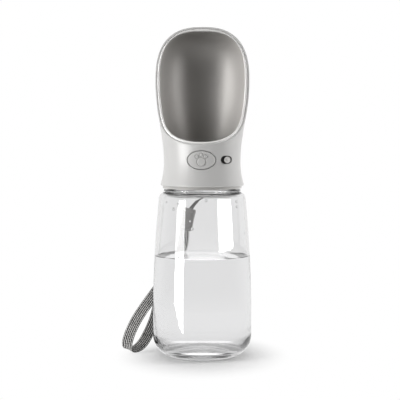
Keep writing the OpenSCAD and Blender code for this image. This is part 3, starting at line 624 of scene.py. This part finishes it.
# A few drops of water cling to the inside of the wall above the water, as after a shake, and most of them are
# near the shoulder. They are flattened domes of the same water, scattered with a fixed seed.
drop_low = 84.0
drop_high = 121.0
drop_tall = 0.7
drop_sunk = 0.08
drop_sizes = {**turned_sizes, "Per square": 0.004, "Smallest": 0.5, "Largest": 1.2, "Seed": 4}


def drops_tree(given):
    """Domes of water scattered over the wall that the outline turns to."""
    wall = turned_tree(given)
    height = wall.add("GeometryNodeInputPosition").parts()[2]
    density = height.step(drop_low, drop_high) * given["Per square"]
    inputs = {"Mesh": wall, "Density": density, "Seed": given["Seed"]}
    spots = wall.add("GeometryNodeDistributePointsOnFaces", inputs=inputs)
    upright = Value(wall.tree, spots.socket.node.outputs["Rotation"])
    ball = wall.add("GeometryNodeMeshIcoSphere", inputs={"Radius": 1.0, "Subdivisions": 3})
    x, y, z = ball.add("GeometryNodeInputPosition").parts()
    drop = ball.placed(x.point(y, z.sum("MAXIMUM", -drop_sunk) * drop_tall))
    inputs = {2: given["Smallest"], 3: given["Largest"], 8: given["Seed"]}
    size = drop.add("FunctionNodeRandomValue", inputs=inputs, output=1)
    inputs = {"Points": spots, "Instance": drop, "Rotation": upright, "Scale": size.point(size, size)}
    return drop.add("GeometryNodeInstanceOnPoints", inputs=inputs)


drop_outline = [(side_r(z) - bottle_wall, z) for z in np.linspace(drop_high, drop_low, 12)]
drops = grow("water_drops", outline_mesh(drop_outline), drop_sizes, drops_tree, water_finish)
dress(drops, "bottle")

# The head is a two-part moulding in light grey ABS: a threaded foot that flares out, a waist, and a scoop that
# leans back. The formulas give half width, lean and depth of its oval section at each height.
shell_z = 130.4
waist_r = 29.15
waist_z = 148.2
flare_curve = 55.0
scoop_w = 72.0
scoop_up = 61.0
wide_z = waist_z + scoop_up
dome_h = 41.6
top_z = wide_z + dome_h
dome_power = 2.58
scoop_flat = 0.84
scoop_lean = 6.5
shell_wall = 1.5
deck_top = 142.3
ledge_z = 158.8
floor_z = 160.4
join_z = 159.6
mouth_z = 160.5
mouth_front = 0.4
mouth_power = 5.8
lip_proud = 2.0
rim_step = 0.6
mouth_back = 6.5
valve_z = 150.5
cavity_r = 27.05
shell_bore = 27.3
shell_columns = 216
rim_rows = 84
tip_depth = 4.0
tip_margin = 1.6


def ease(t):
    t = min(1, max(0, t))
    return t * t * (3 - 2 * t)


def half_w(z, inset=0.0, power=dome_power):
    if z <= waist_z:
        return waist_r + (waist_z - z) ** 2 / (2 * flare_curve) - inset
    if z <= wide_z:
        return waist_r + (scoop_w / 2 - waist_r) * (1 - math.cos(math.pi * (z - waist_z) / scoop_up)) / 2 - inset
    rise = min(1, (z - wide_z) / (dome_h - inset))
    return (scoop_w / 2 - inset) * (1 - rise**power) ** (1 / power)


def lean(z):
    return scoop_lean * max(0, (z - join_z) / (top_z - join_z)) ** 1.5


def flatness(z):
    return 1 - (1 - scoop_flat) * ease((z - join_z) / (wide_z - join_z))


def scoop_point(width, z, a):
    w = width(z)
    return np.array((w * math.cos(a), lean(z) + w * flatness(z) * math.sin(a), z))


def mouth(proud):
    """Edge of the trough's mouth as y at a height, moved out of the trough by proud."""
    zs = np.linspace(mouth_z - 8, top_z + 3, 700)
    rise = np.clip(top_z - zs, 0, None) / (top_z - mouth_z)
    ys = mouth_back - (mouth_back + waist_r + mouth_front) * rise**mouth_power
    slope = np.gradient(ys, zs)
    size = np.sqrt(1 + slope**2)
    return lambda z: float(np.interp(z, zs + proud * slope / size, ys - proud / size))


def solve(f, low, high):
    """Place between low and high where f changes sign."""
    at_low = f(low)
    for _ in range(50):
        middle = (low + high) / 2
        if (f(middle) > 0) == (at_low > 0):
            low = middle
        else:
            high = middle
    return (low + high) / 2


def rim(width, proud, top, tip):
    """Heights and angles of even steps along the line where a surface meets the mouth, from front to top."""
    edge = mouth(proud)

    def gap(z, a):
        return lean(z) + width(z) * flatness(z) * math.sin(a) - edge(z)

    def angle(z):
        return math.asin(min(1, max(-1, (edge(z) - lean(z)) / (width(z) * flatness(z)))))

    front = np.radians(np.linspace(-90, -20, 160))
    spots = [(solve(lambda z: gap(z, a), mouth_z - 5, mouth_z + 25), a) for a in front]
    low = spots[-1][0]
    high = solve(lambda z: width(z) - 9, wide_z, top)
    zs = [low + (high - low) * math.sin(t) for t in np.linspace(0, math.pi / 2, 400)]
    spots += [(z, angle(z)) for z in zs[1:]]
    spots += [(solve(lambda z: gap(z, a), high, top), a) for a in np.linspace(spots[-1][1], tip, 160)[1:]]
    line = np.array([scoop_point(width, z, a) for z, a in spots])
    along = lengths(line)
    even = np.linspace(0, along[-1], rim_rows + 1)
    return [(float(np.interp(s, along, [p[0] for p in spots])), float(np.interp(s, along, [p[1] for p in spots])))
            for s in even]


def scoop_rows(form, width, low_zs, rim_line, columns):
    """Rows of a scoop's surface: rings below the mouth, then rows from one side of its edge round the back to
    the other, spread evenly over the back."""
    rows = []
    for z in low_zs:
        angles = np.radians(np.linspace(-90, 270, columns + 1))
        rows.append(form.row([scoop_point(width, z, a) for a in angles]))
    first, last = rim_line[0][0], rim_line[-1][0]
    zs = np.array([first + (last - first) * math.sin(t) for t in np.linspace(0, math.pi / 2, 500)])
    back = lengths(np.array([scoop_point(width, z, math.pi / 2) for z in zs]))
    back_zs = np.interp(np.linspace(0, back[-1], len(rim_line)), back, zs)
    for (z, a), back_z in zip(rim_line, back_zs):
        row = []
        for t in np.linspace(0, 1, columns + 1):
            row.append(scoop_point(width, z + (back_z - z) * math.sin(math.pi * t), a + (math.pi - 2 * a) * t))
        rows.append(form.row(row))
    return rows


def rim_loop(rows):
    """The closed line of points along the mouth."""
    edge = rows[-rim_rows - 1:]
    return [row[0] for row in edge] + [row[-1] for row in edge[-2:0:-1]]


def lip(form, outer, inner, width_out, width_in, corner):
    """Rounded edge between the outer and the inner line of a rim."""
    out_line = np.array([form.points[i] for i in outer])
    in_line = np.array([form.points[i] for i in inner])

    def ways(points, width):
        out = []
        for before, here, after in zip(np.roll(points, 1, 0), points, np.roll(points, -1, 0)):
            z = min(here[2], top_z - tip_margin)
            a = math.atan2((here[1] - lean(here[2])) / flatness(here[2]), here[0])
            step = 0.02
            round_way = scoop_point(width, z, a + step) - scoop_point(width, z, a - step)
            up_way = scoop_point(width, z + step, a) - scoop_point(width, z - step, a)
            if here[2] > top_z - tip_depth:
                normal = unit((here[0] * 0.02, 0, 1))
            else:
                normal = unit(np.cross(round_way, up_way))
            way = unit(np.cross(normal, after - before))
            facing = (0, -1, 0.3)
            out.append(way if way.dot(facing) > 0 else -way)
        return np.array(out)

    out_ways, in_ways = ways(out_line, width_out), ways(in_line, width_in)
    span = in_line - out_line
    reach = np.linalg.norm(span, axis=1)[:, None]
    across = span / reach
    corner = np.minimum(corner, reach / 2)
    rows = [outer]
    for a in np.radians(np.linspace(0, 90, 6)[1:]):
        rows.append(form.row(out_line + across * corner * (1 - math.cos(a)) + out_ways * corner * math.sin(a)))
    for a in np.radians(np.linspace(90, 0, 6)[:-1]):
        rows.append(form.row(in_line - across * corner * (1 - math.cos(a)) + in_ways * corner * math.sin(a)))
    rows.append(inner)
    form.chain(rows)


# The shell is the outer cover of the head, moulded in glossy light grey ABS and snapped over the threaded collar.
# The button's oval hole and the lock's slot run straight back through its curved wall, with softened edges.
button_w = 20.6
button_h = 13.6
button_gap = 0.45
slot_x = 18.4
slot_w = 8.2
slot_h = 6.1
edge_soft = 0.3
shell_lip = 0.6
hole_low = 141.6
hole_high = 159.4
hole_rows = 22
button_cols = 16
slot_cols = 33


def oval_reach(half_x, half_z):
    """Edge of the button's hole, in the direction (dx, dz) from its middle."""
    def reach(dx, dz, wider):
        a = math.atan2(dz / half_z, dx / half_x)
        return (half_x + wider) * math.cos(a), (half_z + wider) * math.sin(a)
    return reach


def slot_reach(half_x, half_z):
    """Edge of the lock's slot, which has round ends."""
    def reach(dx, dz, wider):
        size = math.hypot(dx, dz)
        c, s = dx / size, dz / size
        r, straight = half_z + wider, half_x - half_z
        if abs(c) * r <= straight * abs(s):
            return r / abs(s) * c, r * math.copysign(1, s)
        t = straight * abs(c) + math.sqrt(max(0, r * r - straight * straight * s * s))
        return t * c, t * s
    return reach


def wall_hole(form, border_out, border_in, centre_x, reach):
    """Rings from the grid round a hole, over its soft edge and through the wall to the grid inside."""
    def on_wall(x, z, width, depth=0.0):
        return (x, depth - math.sqrt(width(z) ** 2 - x * x), z)

    def ring(border, t, wider, width, depth=0.0):
        made = []
        for i in border:
            x, _, z = form.points[i]
            ex, ez = reach(x - centre_x, z - valve_z, wider)
            made.append(on_wall(x * (1 - t) + (centre_x + ex) * t, z * (1 - t) + (valve_z + ez) * t, width, depth))
        return form.row(made)

    def cavity(z):
        return cavity_r

    rings = [border_out]
    rings += [ring(border_out, t, edge_soft, half_w) for t in (0.2, 0.4, 0.6, 0.78, 0.9, 1)]
    for a in np.radians((22, 45, 68, 90)):
        rings.append(ring(border_out, 1, edge_soft * (1 - math.sin(a)), half_w, edge_soft * (1 - math.cos(a))))
    rings += [ring(border_out, 1, 0, cavity, -0.2)]
    rings += [ring(border_in, t, 0, cavity) for t in (1, 0.66, 0.33)]
    form.chain(rings + [border_in])


def border(rows, low, left, right):
    """The loop of grid points round a hole. Its columns count from the front, where the grid has its seam."""
    high = low + hole_rows
    spots = [(low, c) for c in range(left, right)] + [(r, right) for r in range(low, high)]
    spots += [(high, c) for c in range(right, left, -1)] + [(r, left) for r in range(high, low, -1)]
    return [rows[r][c % shell_columns] for r, c in spots]


def shell_form():
    form = Form()
    foot_r = 1.0
    foot = half_w(shell_z + foot_r)
    low_zs = [shell_z + foot_r + 0.01] + list(np.linspace(shell_z + 1.8, hole_low, 12))
    first = len(low_zs) - 1
    low_zs += list(np.linspace(hole_low, hole_high, hole_rows + 1)[1:]) + [hole_high + 0.5]
    edge = lip_proud - rim_step - shell_lip
    outer = scoop_rows(form, half_w, low_zs, rim(half_w, edge, top_z, math.pi / 2), shell_columns)

    def inner_w(z):
        if z < deck_top + 0.01:
            return shell_bore
        return cavity_r if z < ledge_z + 0.01 else half_w(z, shell_wall)

    in_zs = [shell_z + 0.3, deck_top, deck_top + 0.02]
    first_in = len(in_zs) - 1
    in_zs += list(np.linspace(deck_top + 0.3, ledge_z - 0.2, hole_rows))
    in_zs += [ledge_z, ledge_z + 0.02, ledge_z + 0.7]
    inner_rim = rim(lambda z: half_w(z, shell_wall), edge, top_z - shell_wall, math.pi / 2)
    inner = scoop_rows(form, inner_w, in_zs, inner_rim, shell_columns)
    foot_rows = []
    for r, z in arc(foot - foot_r, shell_z + foot_r, foot_r, -10, -90, 5) + [(shell_bore + 0.3, shell_z)]:
        angles = np.radians(np.linspace(-90, 270, shell_columns + 1))
        foot_rows.append(form.row([(r * math.cos(a), r * math.sin(a), z) for a in angles]))
    form.chain([outer[0]] + foot_rows + [inner[0]], loop=False)
    holes = {c % shell_columns for c in range(-button_cols, slot_cols)}
    for rows, start in ((outer, first), (inner, first_in)):
        for k, (a, b) in enumerate(zip(rows, rows[1:])):
            form.join(a, b, skip=holes if start <= k < start + hole_rows else ())
    button_edge = oval_reach(button_w / 2 + button_gap, button_h / 2 + button_gap)
    slot_edge = slot_reach(slot_w / 2, slot_h / 2)
    for x, edge, span in ((0, button_edge, (-button_cols, button_cols)), (slot_x, slot_edge, (button_cols, slot_cols))):
        wall_hole(form, border(outer, first, *span), border(inner, first_in, *span), x, edge)
    lip(form, rim_loop(outer), rim_loop(inner), half_w, lambda z: half_w(z, shell_wall), shell_lip)
    return form


shell_colour = (0.59, 0.585, 0.575)
shell_finish = satin("shell_plastic", shell_colour, 0.36, relief=0.000002, speck=0.02)
shell = piece("head_shell_moulded", shell_form(), "head", shell_finish, ["head_shell"])

# The liner is the trough's own bowl, with fine metal flake in the bowl's plastic. Its bowl is painted a darker grey as
# the shade deep in the trough, and its lip a grey a little darker than the shell's, as painted shade against the bowl's
# own lamps. Its lip is a step above the shell's edge, its floor rounds up into its wall, and one hole in the floor
# lets the water in.
liner_gap = 0.1
liner_wall = 1.9
bowl_square = 0.27
trough_round = 5.0
port_r = 2.6
outlet_y = 7.0
liner_lip = 0.8
liner_columns = 180


def liner_out(z):
    return half_w(z, shell_wall + liner_gap)


def liner_in(z):
    base = half_w(z, shell_wall + liner_gap + liner_wall, dome_power + bowl_square)
    if z >= floor_z + trough_round:
        return base
    return base - trough_round + math.sqrt(max(0, trough_round**2 - (floor_z + trough_round - z) ** 2))


def liner_form():
    form = Form()
    proud = lip_proud - liner_lip
    out_top = top_z - shell_wall - liner_gap
    in_top = out_top - liner_wall
    out_rim = rim(liner_out, proud, out_top, -math.pi / 2)
    in_rim = rim(liner_in, proud, in_top, -math.pi / 2)
    outer = scoop_rows(form, liner_out, [ledge_z, ledge_z + 0.6, ledge_z + 1.2], out_rim, liner_columns)
    first = in_rim[0][0]
    low_zs = [floor_z + (first - floor_z) * t for t in (0, 0.02, 0.08, 0.18, 0.32, 0.5, 0.72)]
    inner = scoop_rows(form, liner_in, low_zs, in_rim, liner_columns)
    form.chain(outer, loop=False)
    form.chain(inner, loop=False)
    lip(form, rim_loop(outer), rim_loop(inner), liner_out, liner_in, liner_lip)
    form.close(outer[-1][:-1], (0, lean(top_z), out_top))
    form.close(inner[-1][:-1], (0, lean(top_z), in_top))
    floors = []
    for row, z in ((outer[0], ledge_z), (inner[0], floor_z)):
        rings = [row]
        for t in (0.25, 0.5, 0.75, 0.92, 1):
            made = []
            for i in row:
                x, y, _ = form.points[i]
                a = math.atan2(y, x)
                hole = (port_r * math.cos(a), port_r * math.sin(a) - outlet_y)
                made.append((x * (1 - t) + hole[0] * t, y * (1 - t) + hole[1] * t, z))
            rings.append(form.row(made))
        form.chain(rings, loop=False)
        floors.append(rings[-1])
    form.join(floors[0], floors[1])
    edge = np.array([form.points[i] for i in rim_loop(inner)])
    for i in (i for row in inner for i in row):
        form.places[i] = (float(np.linalg.norm(edge - form.points[i], axis=1).min()), 0)
    return form


def pearl_with_painted_shade(name, lip_dimmed_colour, bowl_shade_colour, metal, roughness):
    """Plastic whose UVs hold the distance from the lip: plain on the lip, and with fine metal flake in the bowl. Both
    colours are painted shade: the bowl's dark grey stands for the shade deep in the trough, and the lip's grey is
    dimmed to offset the bowl's own lamps."""
    shade = material(name)
    # Where the bowl's painted shade takes over from the lip's dimmed grey.
    inside = shade.add("ShaderNodeUVMap").parts()[0].step(0.1, 0.6)
    cloud = noise(shade, 30)
    colour = inside.mix(lip_dimmed_colour, cloud.around(bowl_shade_colour, 0.05))
    return surface(shade, noise(shade, 900), 0.000003, Base_Color=colour, Metallic=inside * metal,
                   Roughness=cloud * 0.04 + (roughness - 0.02))


# Painted shade in both colours: the lip's grey is dimmed against the bowl's lamps, and the bowl's dark grey stands for
# the shade in the trough.
liner_finish = pearl_with_painted_shade("liner_pearl", (0.38, 0.376, 0.368), (0.286, 0.275, 0.263), 0.3, 0.45)
liner = piece("trough_liner_moulded", liner_form(), "head", liner_finish, ["trough_liner"])

# The button is an oval cap, curved like the waist, with a rounded edge and a raised paw of one pad and three toes.
# A flange behind the wall keeps it in, and a boss at its back takes the valve's stem.
button_proud = 0.35
flange_over = 0.6
flange_t = 1.5
flange_r = 26.65
boss_r = 4.0
boss_end = -22.2
stem_bore = 2.05
bore_end = -25.15
button_soft = 0.7
paw_t = 0.32
paw_soft = 0.3
paw_ring = 0.45
paw_ring_w = 0.25
paw_pads = ((0, -1.3, 2.8), (-3.2, 2.7, 0.95), (0, 3.9, 0.95), (3.2, 2.7, 0.95))


def round_row(form, x, y, r, sides):
    """A ring that faces the front, round a line at the valve's height."""
    turns = [math.tau * i / sides for i in range(sides)]
    return form.row([(x + r * math.cos(a), y, valve_z + r * math.sin(a)) for a in turns])


def button_form():
    form = Form()
    sides = 160
    half_x, half_z = button_w / 2, button_h / 2
    face_r = waist_r + button_proud
    soft = button_soft
    turns = [math.tau * i / sides for i in range(sides)]

    def relief(x, z):
        out = min(math.hypot(x - px, z - valve_z - pz) - r for px, pz, r in paw_pads)
        groove = math.exp(-((out - paw_ring) / paw_ring_w) ** 2) * paw_ring
        return ease(0.5 - out / paw_soft) * paw_t - groove

    def oval(scale_x, scale_z, r, depth=0.0, raised=False):
        ring = []
        for a in turns:
            x, z = scale_x * math.cos(a), valve_z + scale_z * math.sin(a)
            y = depth - math.sqrt(r * r - x * x)
            ring.append((x, y - (relief(x, z) if raised else 0), z))
        return form.row(ring)

    rows = [oval((half_x - soft) * s, (half_z - soft) * s, face_r, 0, True) for s in np.linspace(0.015, 1, 64)]
    for a in np.radians(np.linspace(0, 90, 7)[1:]):
        inset = soft * (1 - math.sin(a))
        rows.append(oval(half_x - inset, half_z - inset, face_r, soft * (1 - math.cos(a))))
    wide, tall = half_x + button_gap + flange_over, half_z + button_gap + flange_over
    rows += [oval(half_x, half_z, flange_r), oval(wide - 0.1, tall - 0.1, flange_r), oval(wide, tall, flange_r - 0.1)]
    rows += [oval(wide, tall, flange_r - flange_t), oval(boss_r * 1.4, boss_r * 1.4, flange_r - flange_t)]
    rows += [round_row(form, 0, y, r, sides) for r, y in (
        (boss_r, bore_end + 0.6), (boss_r, boss_end - 0.3), (boss_r - 0.3, boss_end), (stem_bore, boss_end),
        (stem_bore, bore_end))]
    form.chain(rows)
    form.close(rows[0], (0, -face_r - paw_t, valve_z))
    form.close(rows[-1], (0, bore_end, valve_z))
    return form


button_finish = satin("button_plastic", shell_colour, 0.3, relief=0.000002, speck=0.02)
piece("button_cap", button_form(), "button", button_finish, ["button"])

# The lock is a round knob on a curved plate that slides behind the wall. The knob stands in the slot, with a
# dimple for a fingertip, and the plate seen beside it is painted near black as the shadow down in the slot.
knob_r = 2.35
knob_x = 19.2
knob_front = 24.9
dimple_r = 1.15
dimple_t = 0.4
slider_r = 26.65
slider_t = 3.3
slider_h = 10.0
slider_x = 14.2
slider_end = 61.0


def knob_form():
    form = Form()
    soft = 0.4
    root = -math.sqrt(slider_r**2 - (knob_x + knob_r) ** 2) + 0.3
    profile = [(dimple_r * math.sin(a), -knob_front + dimple_t * math.cos(a) ** 2)
               for a in np.radians((12, 30, 50, 70, 90))]
    profile += [(dimple_r + 0.15, -knob_front)]
    profile += arc(knob_r - soft, -knob_front + soft, soft, -90, 0, 6) + [(knob_r, root)]
    rows = [round_row(form, knob_x, y, r, 48) for r, y in profile]
    form.chain(rows)
    form.close(rows[0], (knob_x, -knob_front + dimple_t, valve_z))
    form.close(rows[-1], (knob_x, root, valve_z))
    return form


def plate_form():
    form = Form()
    soft = 0.35
    rows = []
    end = math.radians(slider_end)
    outline = rounded([(slider_r - slider_t, 0), (slider_r - slider_t, -slider_h / 2), (slider_r, -slider_h / 2),
                       (slider_r, slider_h / 2), (slider_r - slider_t, slider_h / 2), (slider_r - slider_t, 0)], soft)
    for t in np.linspace(0, 1, 30):
        ring = []
        for r, z in outline[:-1]:
            start = math.asin(slider_x / r)
            a = start + (end - start) * t
            ring.append((r * math.sin(a), -r * math.cos(a), valve_z + z))
        rows.append(form.row(ring))
    form.chain(rows)
    middle = slider_r - slider_t / 2
    for row, a in ((rows[0], math.asin(slider_x / middle)), (rows[-1], end)):
        form.close(row, (middle * math.sin(a), -middle * math.cos(a), valve_z))
    return form


knob_finish = satin("knob_plastic", (0.66, 0.65, 0.63), 0.22, coat=0.4)
# Painted shadow: the plate is near black for the shade in the slot beside the knob.
plate_shadow_finish = satin("plate_plastic", (0.05, 0.05, 0.05), 0.45)
piece("lock_knob", knob_form(), "lock", knob_finish, ["lock_slider"])
piece("lock_plate", plate_form(), "lock", plate_shadow_finish, ["lock_slider"])

# The lug is a small ring that lies flat at the back of the shell's foot, moulded in one with the shell. The cord
# is threaded through it, so it is thick for its size.
lug_z = 134.2
lug_r = 3.2
lug_wire = 2.4


def lug_form():
    form = Form()
    centre_y = half_w(lug_z) + lug_r - lug_wire
    rows = []
    for a in np.linspace(0, math.tau, 49)[:-1]:
        ring = []
        for b in np.linspace(0, math.tau, 25)[:-1]:
            r = lug_r + lug_wire / 2 * math.cos(b)
            ring.append((r * math.cos(a), centre_y + r * math.sin(a), lug_z + lug_wire / 2 * math.sin(b)))
        rows.append(form.row(ring))
    form.chain(rows + [rows[0]])
    return form


piece("cord_lug", lug_form(), "head", shell_finish, ["head_shell"])

# Everything else keeps its own solid: the collar and gasket that close the neck, the valve and its seals inside
# the head, the guide of the lock and the screws.
valve_finish = satin("valve_plastic", (0.78, 0.78, 0.77), 0.4)
collar_finish = satin("collar_plastic", (0.46, 0.45, 0.435), 0.3, coat=0.2)
pale_finish = satin("gasket_silicone", (0.72, 0.72, 0.7), 0.55, relief=0.00003)
dark_finish = satin("seal_silicone", (0.06, 0.06, 0.06), 0.5, relief=0.00003)


def bright_steel(name):
    """Drawn steel with fine lines along its drawing."""
    shade = material(name)
    lines = noise(shade, 700, 4.0)
    return surface(shade, lines, 0.00001, Base_Color=lines.mix((0.5, 0.5, 0.51), (0.7, 0.7, 0.71)), Metallic=1.0,
                   Roughness=lines * 0.2 + 0.2)


steel_finish = bright_steel("steel")
kept_finishes = (
    (pale_finish, ("neck_gasket",)),
    (collar_finish, ("thread_collar",)),
    (steel_finish, ("deck_screws",)),
    (dark_finish, ("stem_seal", "seal_disc", "cap_seal", "outlet_seal")),
    (valve_finish, ("valve_body", "valve_gland", "plunger", "seal_retainer", "valve_cap", "lock_guide")),
)
for finish, nodes in kept_finishes:
    for node in nodes:
        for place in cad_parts[node].material_slots:
            place.material = finish

# The valve's spring is steel wire wound round the stem's axis, from the retainer to the cap. Its end coils lie close
# together.
spring_sizes = {"Radius": 3.0, "Wire": 0.7, "Front": 3.0, "Back": 12.6, "Height": valve_z, "Turns": 5,
                "Steps a turn": 36}


def spring_tree(given):
    """Wire wound round a straight starting line, with a pitch that closes up at both ends."""
    line = given["Start"].add("GeometryNodeMeshToCurve", inputs={"Mesh": given["Start"]})
    count = given["Turns"] * given["Steps a turn"] + 1
    line = line.add("GeometryNodeResampleCurve", {"mode": "COUNT"}, {"Curve": line, "Count": count})
    part = line.add("GeometryNodeSplineParameter")
    y = part.step(0, 1) * (given["Back"] - given["Front"]) + given["Front"]
    angle = part * given["Turns"] * math.tau
    wound = (angle.cosine() * given["Radius"]).point(y, angle.sine() * given["Radius"] + given["Height"])
    return line.placed(wound).swept(line.circle(14, given["Wire"] * 0.5))


spring_line = line_mesh([(0, spring_sizes["Front"], valve_z), (0, spring_sizes["Back"], valve_z)])
spring_mesh = grow("valve_spring_coil", spring_line, spring_sizes, spring_tree, steel_finish)
spring = dress(spring_mesh, "head", ["valve_spring"])
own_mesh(spring)

# The studio: a small white sweep that fades into a white room, which is dark in front. A bright card stands at each
# side, seen only as a reflection. Soft lamps light the object from both sides and above, and two more the bowl.
# What is seen through the clear pieces has its own levels: the room's, and a brighter floor under the base, which
# makes up for the light that such a base gathers.
floor_r = 0.30
shadow_narrow = 2.1
shadow_near = 0.035
shadow_far = 0.1
shadow_faded = 0.2
room_front = 0.1
room_table = 0.85
room_diffuse = 0.15
through_room = 0.8
through_front = 0.64
through_floor = 1.4
through_ceiling = 0.5
card_strength = 16.0


def rays(shade, *kinds):
    """Values that are 1 where light of a kind is looked up."""
    path = shade.add("ShaderNodeLightPath").socket.node
    return [Value(shade.tree, path.outputs[f"Is {kind} Ray"]) for kind in kinds]


def floor_finish():
    shade = material("floor_white")
    direct, glossy, through = rays(shade, "Camera", "Glossy", "Transmission")
    x, y, _ = shade.add("ShaderNodeTexCoord", output=3).parts()
    far = (x * x * shadow_narrow + y * y).sum("SQRT").step(shadow_near, shadow_far)
    plain = shade.add("ShaderNodeBsdfDiffuse", inputs={"Color": (0.9, 0.9, 0.9)})
    glow = through * (far * (through_room - through_floor) + through_floor - 1) + 1
    white = shade.add("ShaderNodeEmission", inputs={"Color": (1, 1, 1), "Strength": glow})
    share = (direct * (far * (1 - shadow_faded) + shadow_faded) + glossy + through).sum("MINIMUM", 1)
    return finished(shade, shade.add("ShaderNodeMixShader", inputs={0: share, 1: plain, 2: white}))


def stage_mesh(name, points, faces, finish):
    mesh = bpy.data.meshes.new(name)
    mesh.from_pydata(points, [], faces)
    mesh.materials.append(finish)
    made = into_scene(name, mesh)
    return made


floor_form = Form()
floor_rows = [floor_form.row([(r * math.cos(math.tau * i / 96), r * math.sin(math.tau * i / 96), 0) for i in range(96)])
              for r in (0.1, 0.2, floor_r)]
floor_form.chain(floor_rows)
floor_form.close(floor_rows[0], (0, 0, 0))
floor = stage_mesh("floor", floor_form.points, floor_form.faces, floor_finish())
floor.location.z = -0.0002

card_shade = material("card_glow")
card_light = card_shade.add("ShaderNodeEmission", inputs={"Color": (1, 1, 1), "Strength": card_strength})
card_finish = finished(card_shade, card_light)


def lights_only(lamp, *lit):
    """Keeps the light of a lamp or a card to some pieces."""
    linked = bpy.data.collections.new(f"lit_by_{lamp.name}")
    for made in lit:
        linked.objects.link(made)
    lamp.light_linking.receiver_collection = linked


def glow_card(name, near, far, low, high, *lit):
    """Bright upright card, seen only as a reflection in the pieces that it lights."""
    card = stage_mesh(name, [(*near, low), (*far, low), (*far, high), (*near, high)], [(0, 1, 2, 3)], card_finish)
    for kind in ("camera", "diffuse", "transmission", "shadow"):
        setattr(card, f"visible_{kind}", False)
    lights_only(card, *lit)


glow_card("card_left", (-0.098, -0.126), (-0.36, -0.175), 0.0, 0.14, bottle, water, shell)
glow_card("card_right", (0.098, -0.129), (0.35, -0.066), 0.084, 0.19, bottle, water)


def softbox(name, azimuth, distance, width, height, middle, radiance):
    """Flat soft lamp that faces the object, at an angle round it from the camera's side to the right."""
    lamp_data = bpy.data.lights.new(name, "AREA")
    lamp_data.shape = "RECTANGLE"
    lamp_data.size = width
    lamp_data.size_y = height
    lamp_data.energy = radiance * math.pi * width * height
    lamp = into_scene(name, lamp_data)
    a = math.radians(azimuth)
    lamp.location = (distance * math.sin(a), -distance * math.cos(a), middle)
    lamp.rotation_euler = (math.pi / 2, 0, a)
    lamp.visible_glossy = False
    lamp.visible_transmission = False
    return lamp


softbox("key", -58, 1.1, 0.6, 1.4, 0.35, 5.3)
softbox("right", 90, 1.1, 0.5, 1.4, 0.35, 5.4)
softbox("front", 0, 1.1, 0.5, 1.4, 0.35, 0.3)
overhead = softbox("overhead", 0, 0.0, 1.2, 1.2, 1.3, 1.2)
overhead.rotation_euler = (0, 0, 0)
for name, azimuth, radiance in (("sheen_left", -79, 12.0), ("sheen_right", 79, 7.0)):
    sheen = softbox(name, azimuth, 0.7, 0.6, 0.6, 0.42, radiance)
    sheen.visible_glossy = True
    lights_only(sheen, liner)

world = bpy.data.worlds.new("room")
bpy.context.scene.world = world
world.use_nodes = True
world.node_tree.nodes.clear()
room = Value(world.node_tree)
camera_ray, through_ray, diffuse_ray = rays(room, "Camera", "Transmission", "Diffuse")
_, depth, rise = room.add("ShaderNodeTexCoord").parts()
behind = depth.step(-0.3, 0.6)
table = 1 - rise.step(-0.15, -0.05)
plain = (behind * (1 - room_front) + room_front).sum("MAXIMUM", table * room_table)
ceiling = 1 - rise.step(0.45, 0.75) * (1 - through_ceiling)
refracted = (behind * (through_room - through_front) + through_front) * ceiling
glow = plain * (1 - through_ray) + refracted * through_ray
glow = glow * (1 - camera_ray) * (1 - diffuse_ray * (1 - room_diffuse)) + camera_ray
backdrop = room.add("ShaderNodeBackground", inputs={"Color": (1, 1, 1), "Strength": glow})
room.add("ShaderNodeOutputWorld", inputs={"Surface": backdrop})

bpy.context.scene.view_settings.view_transform = "Standard"
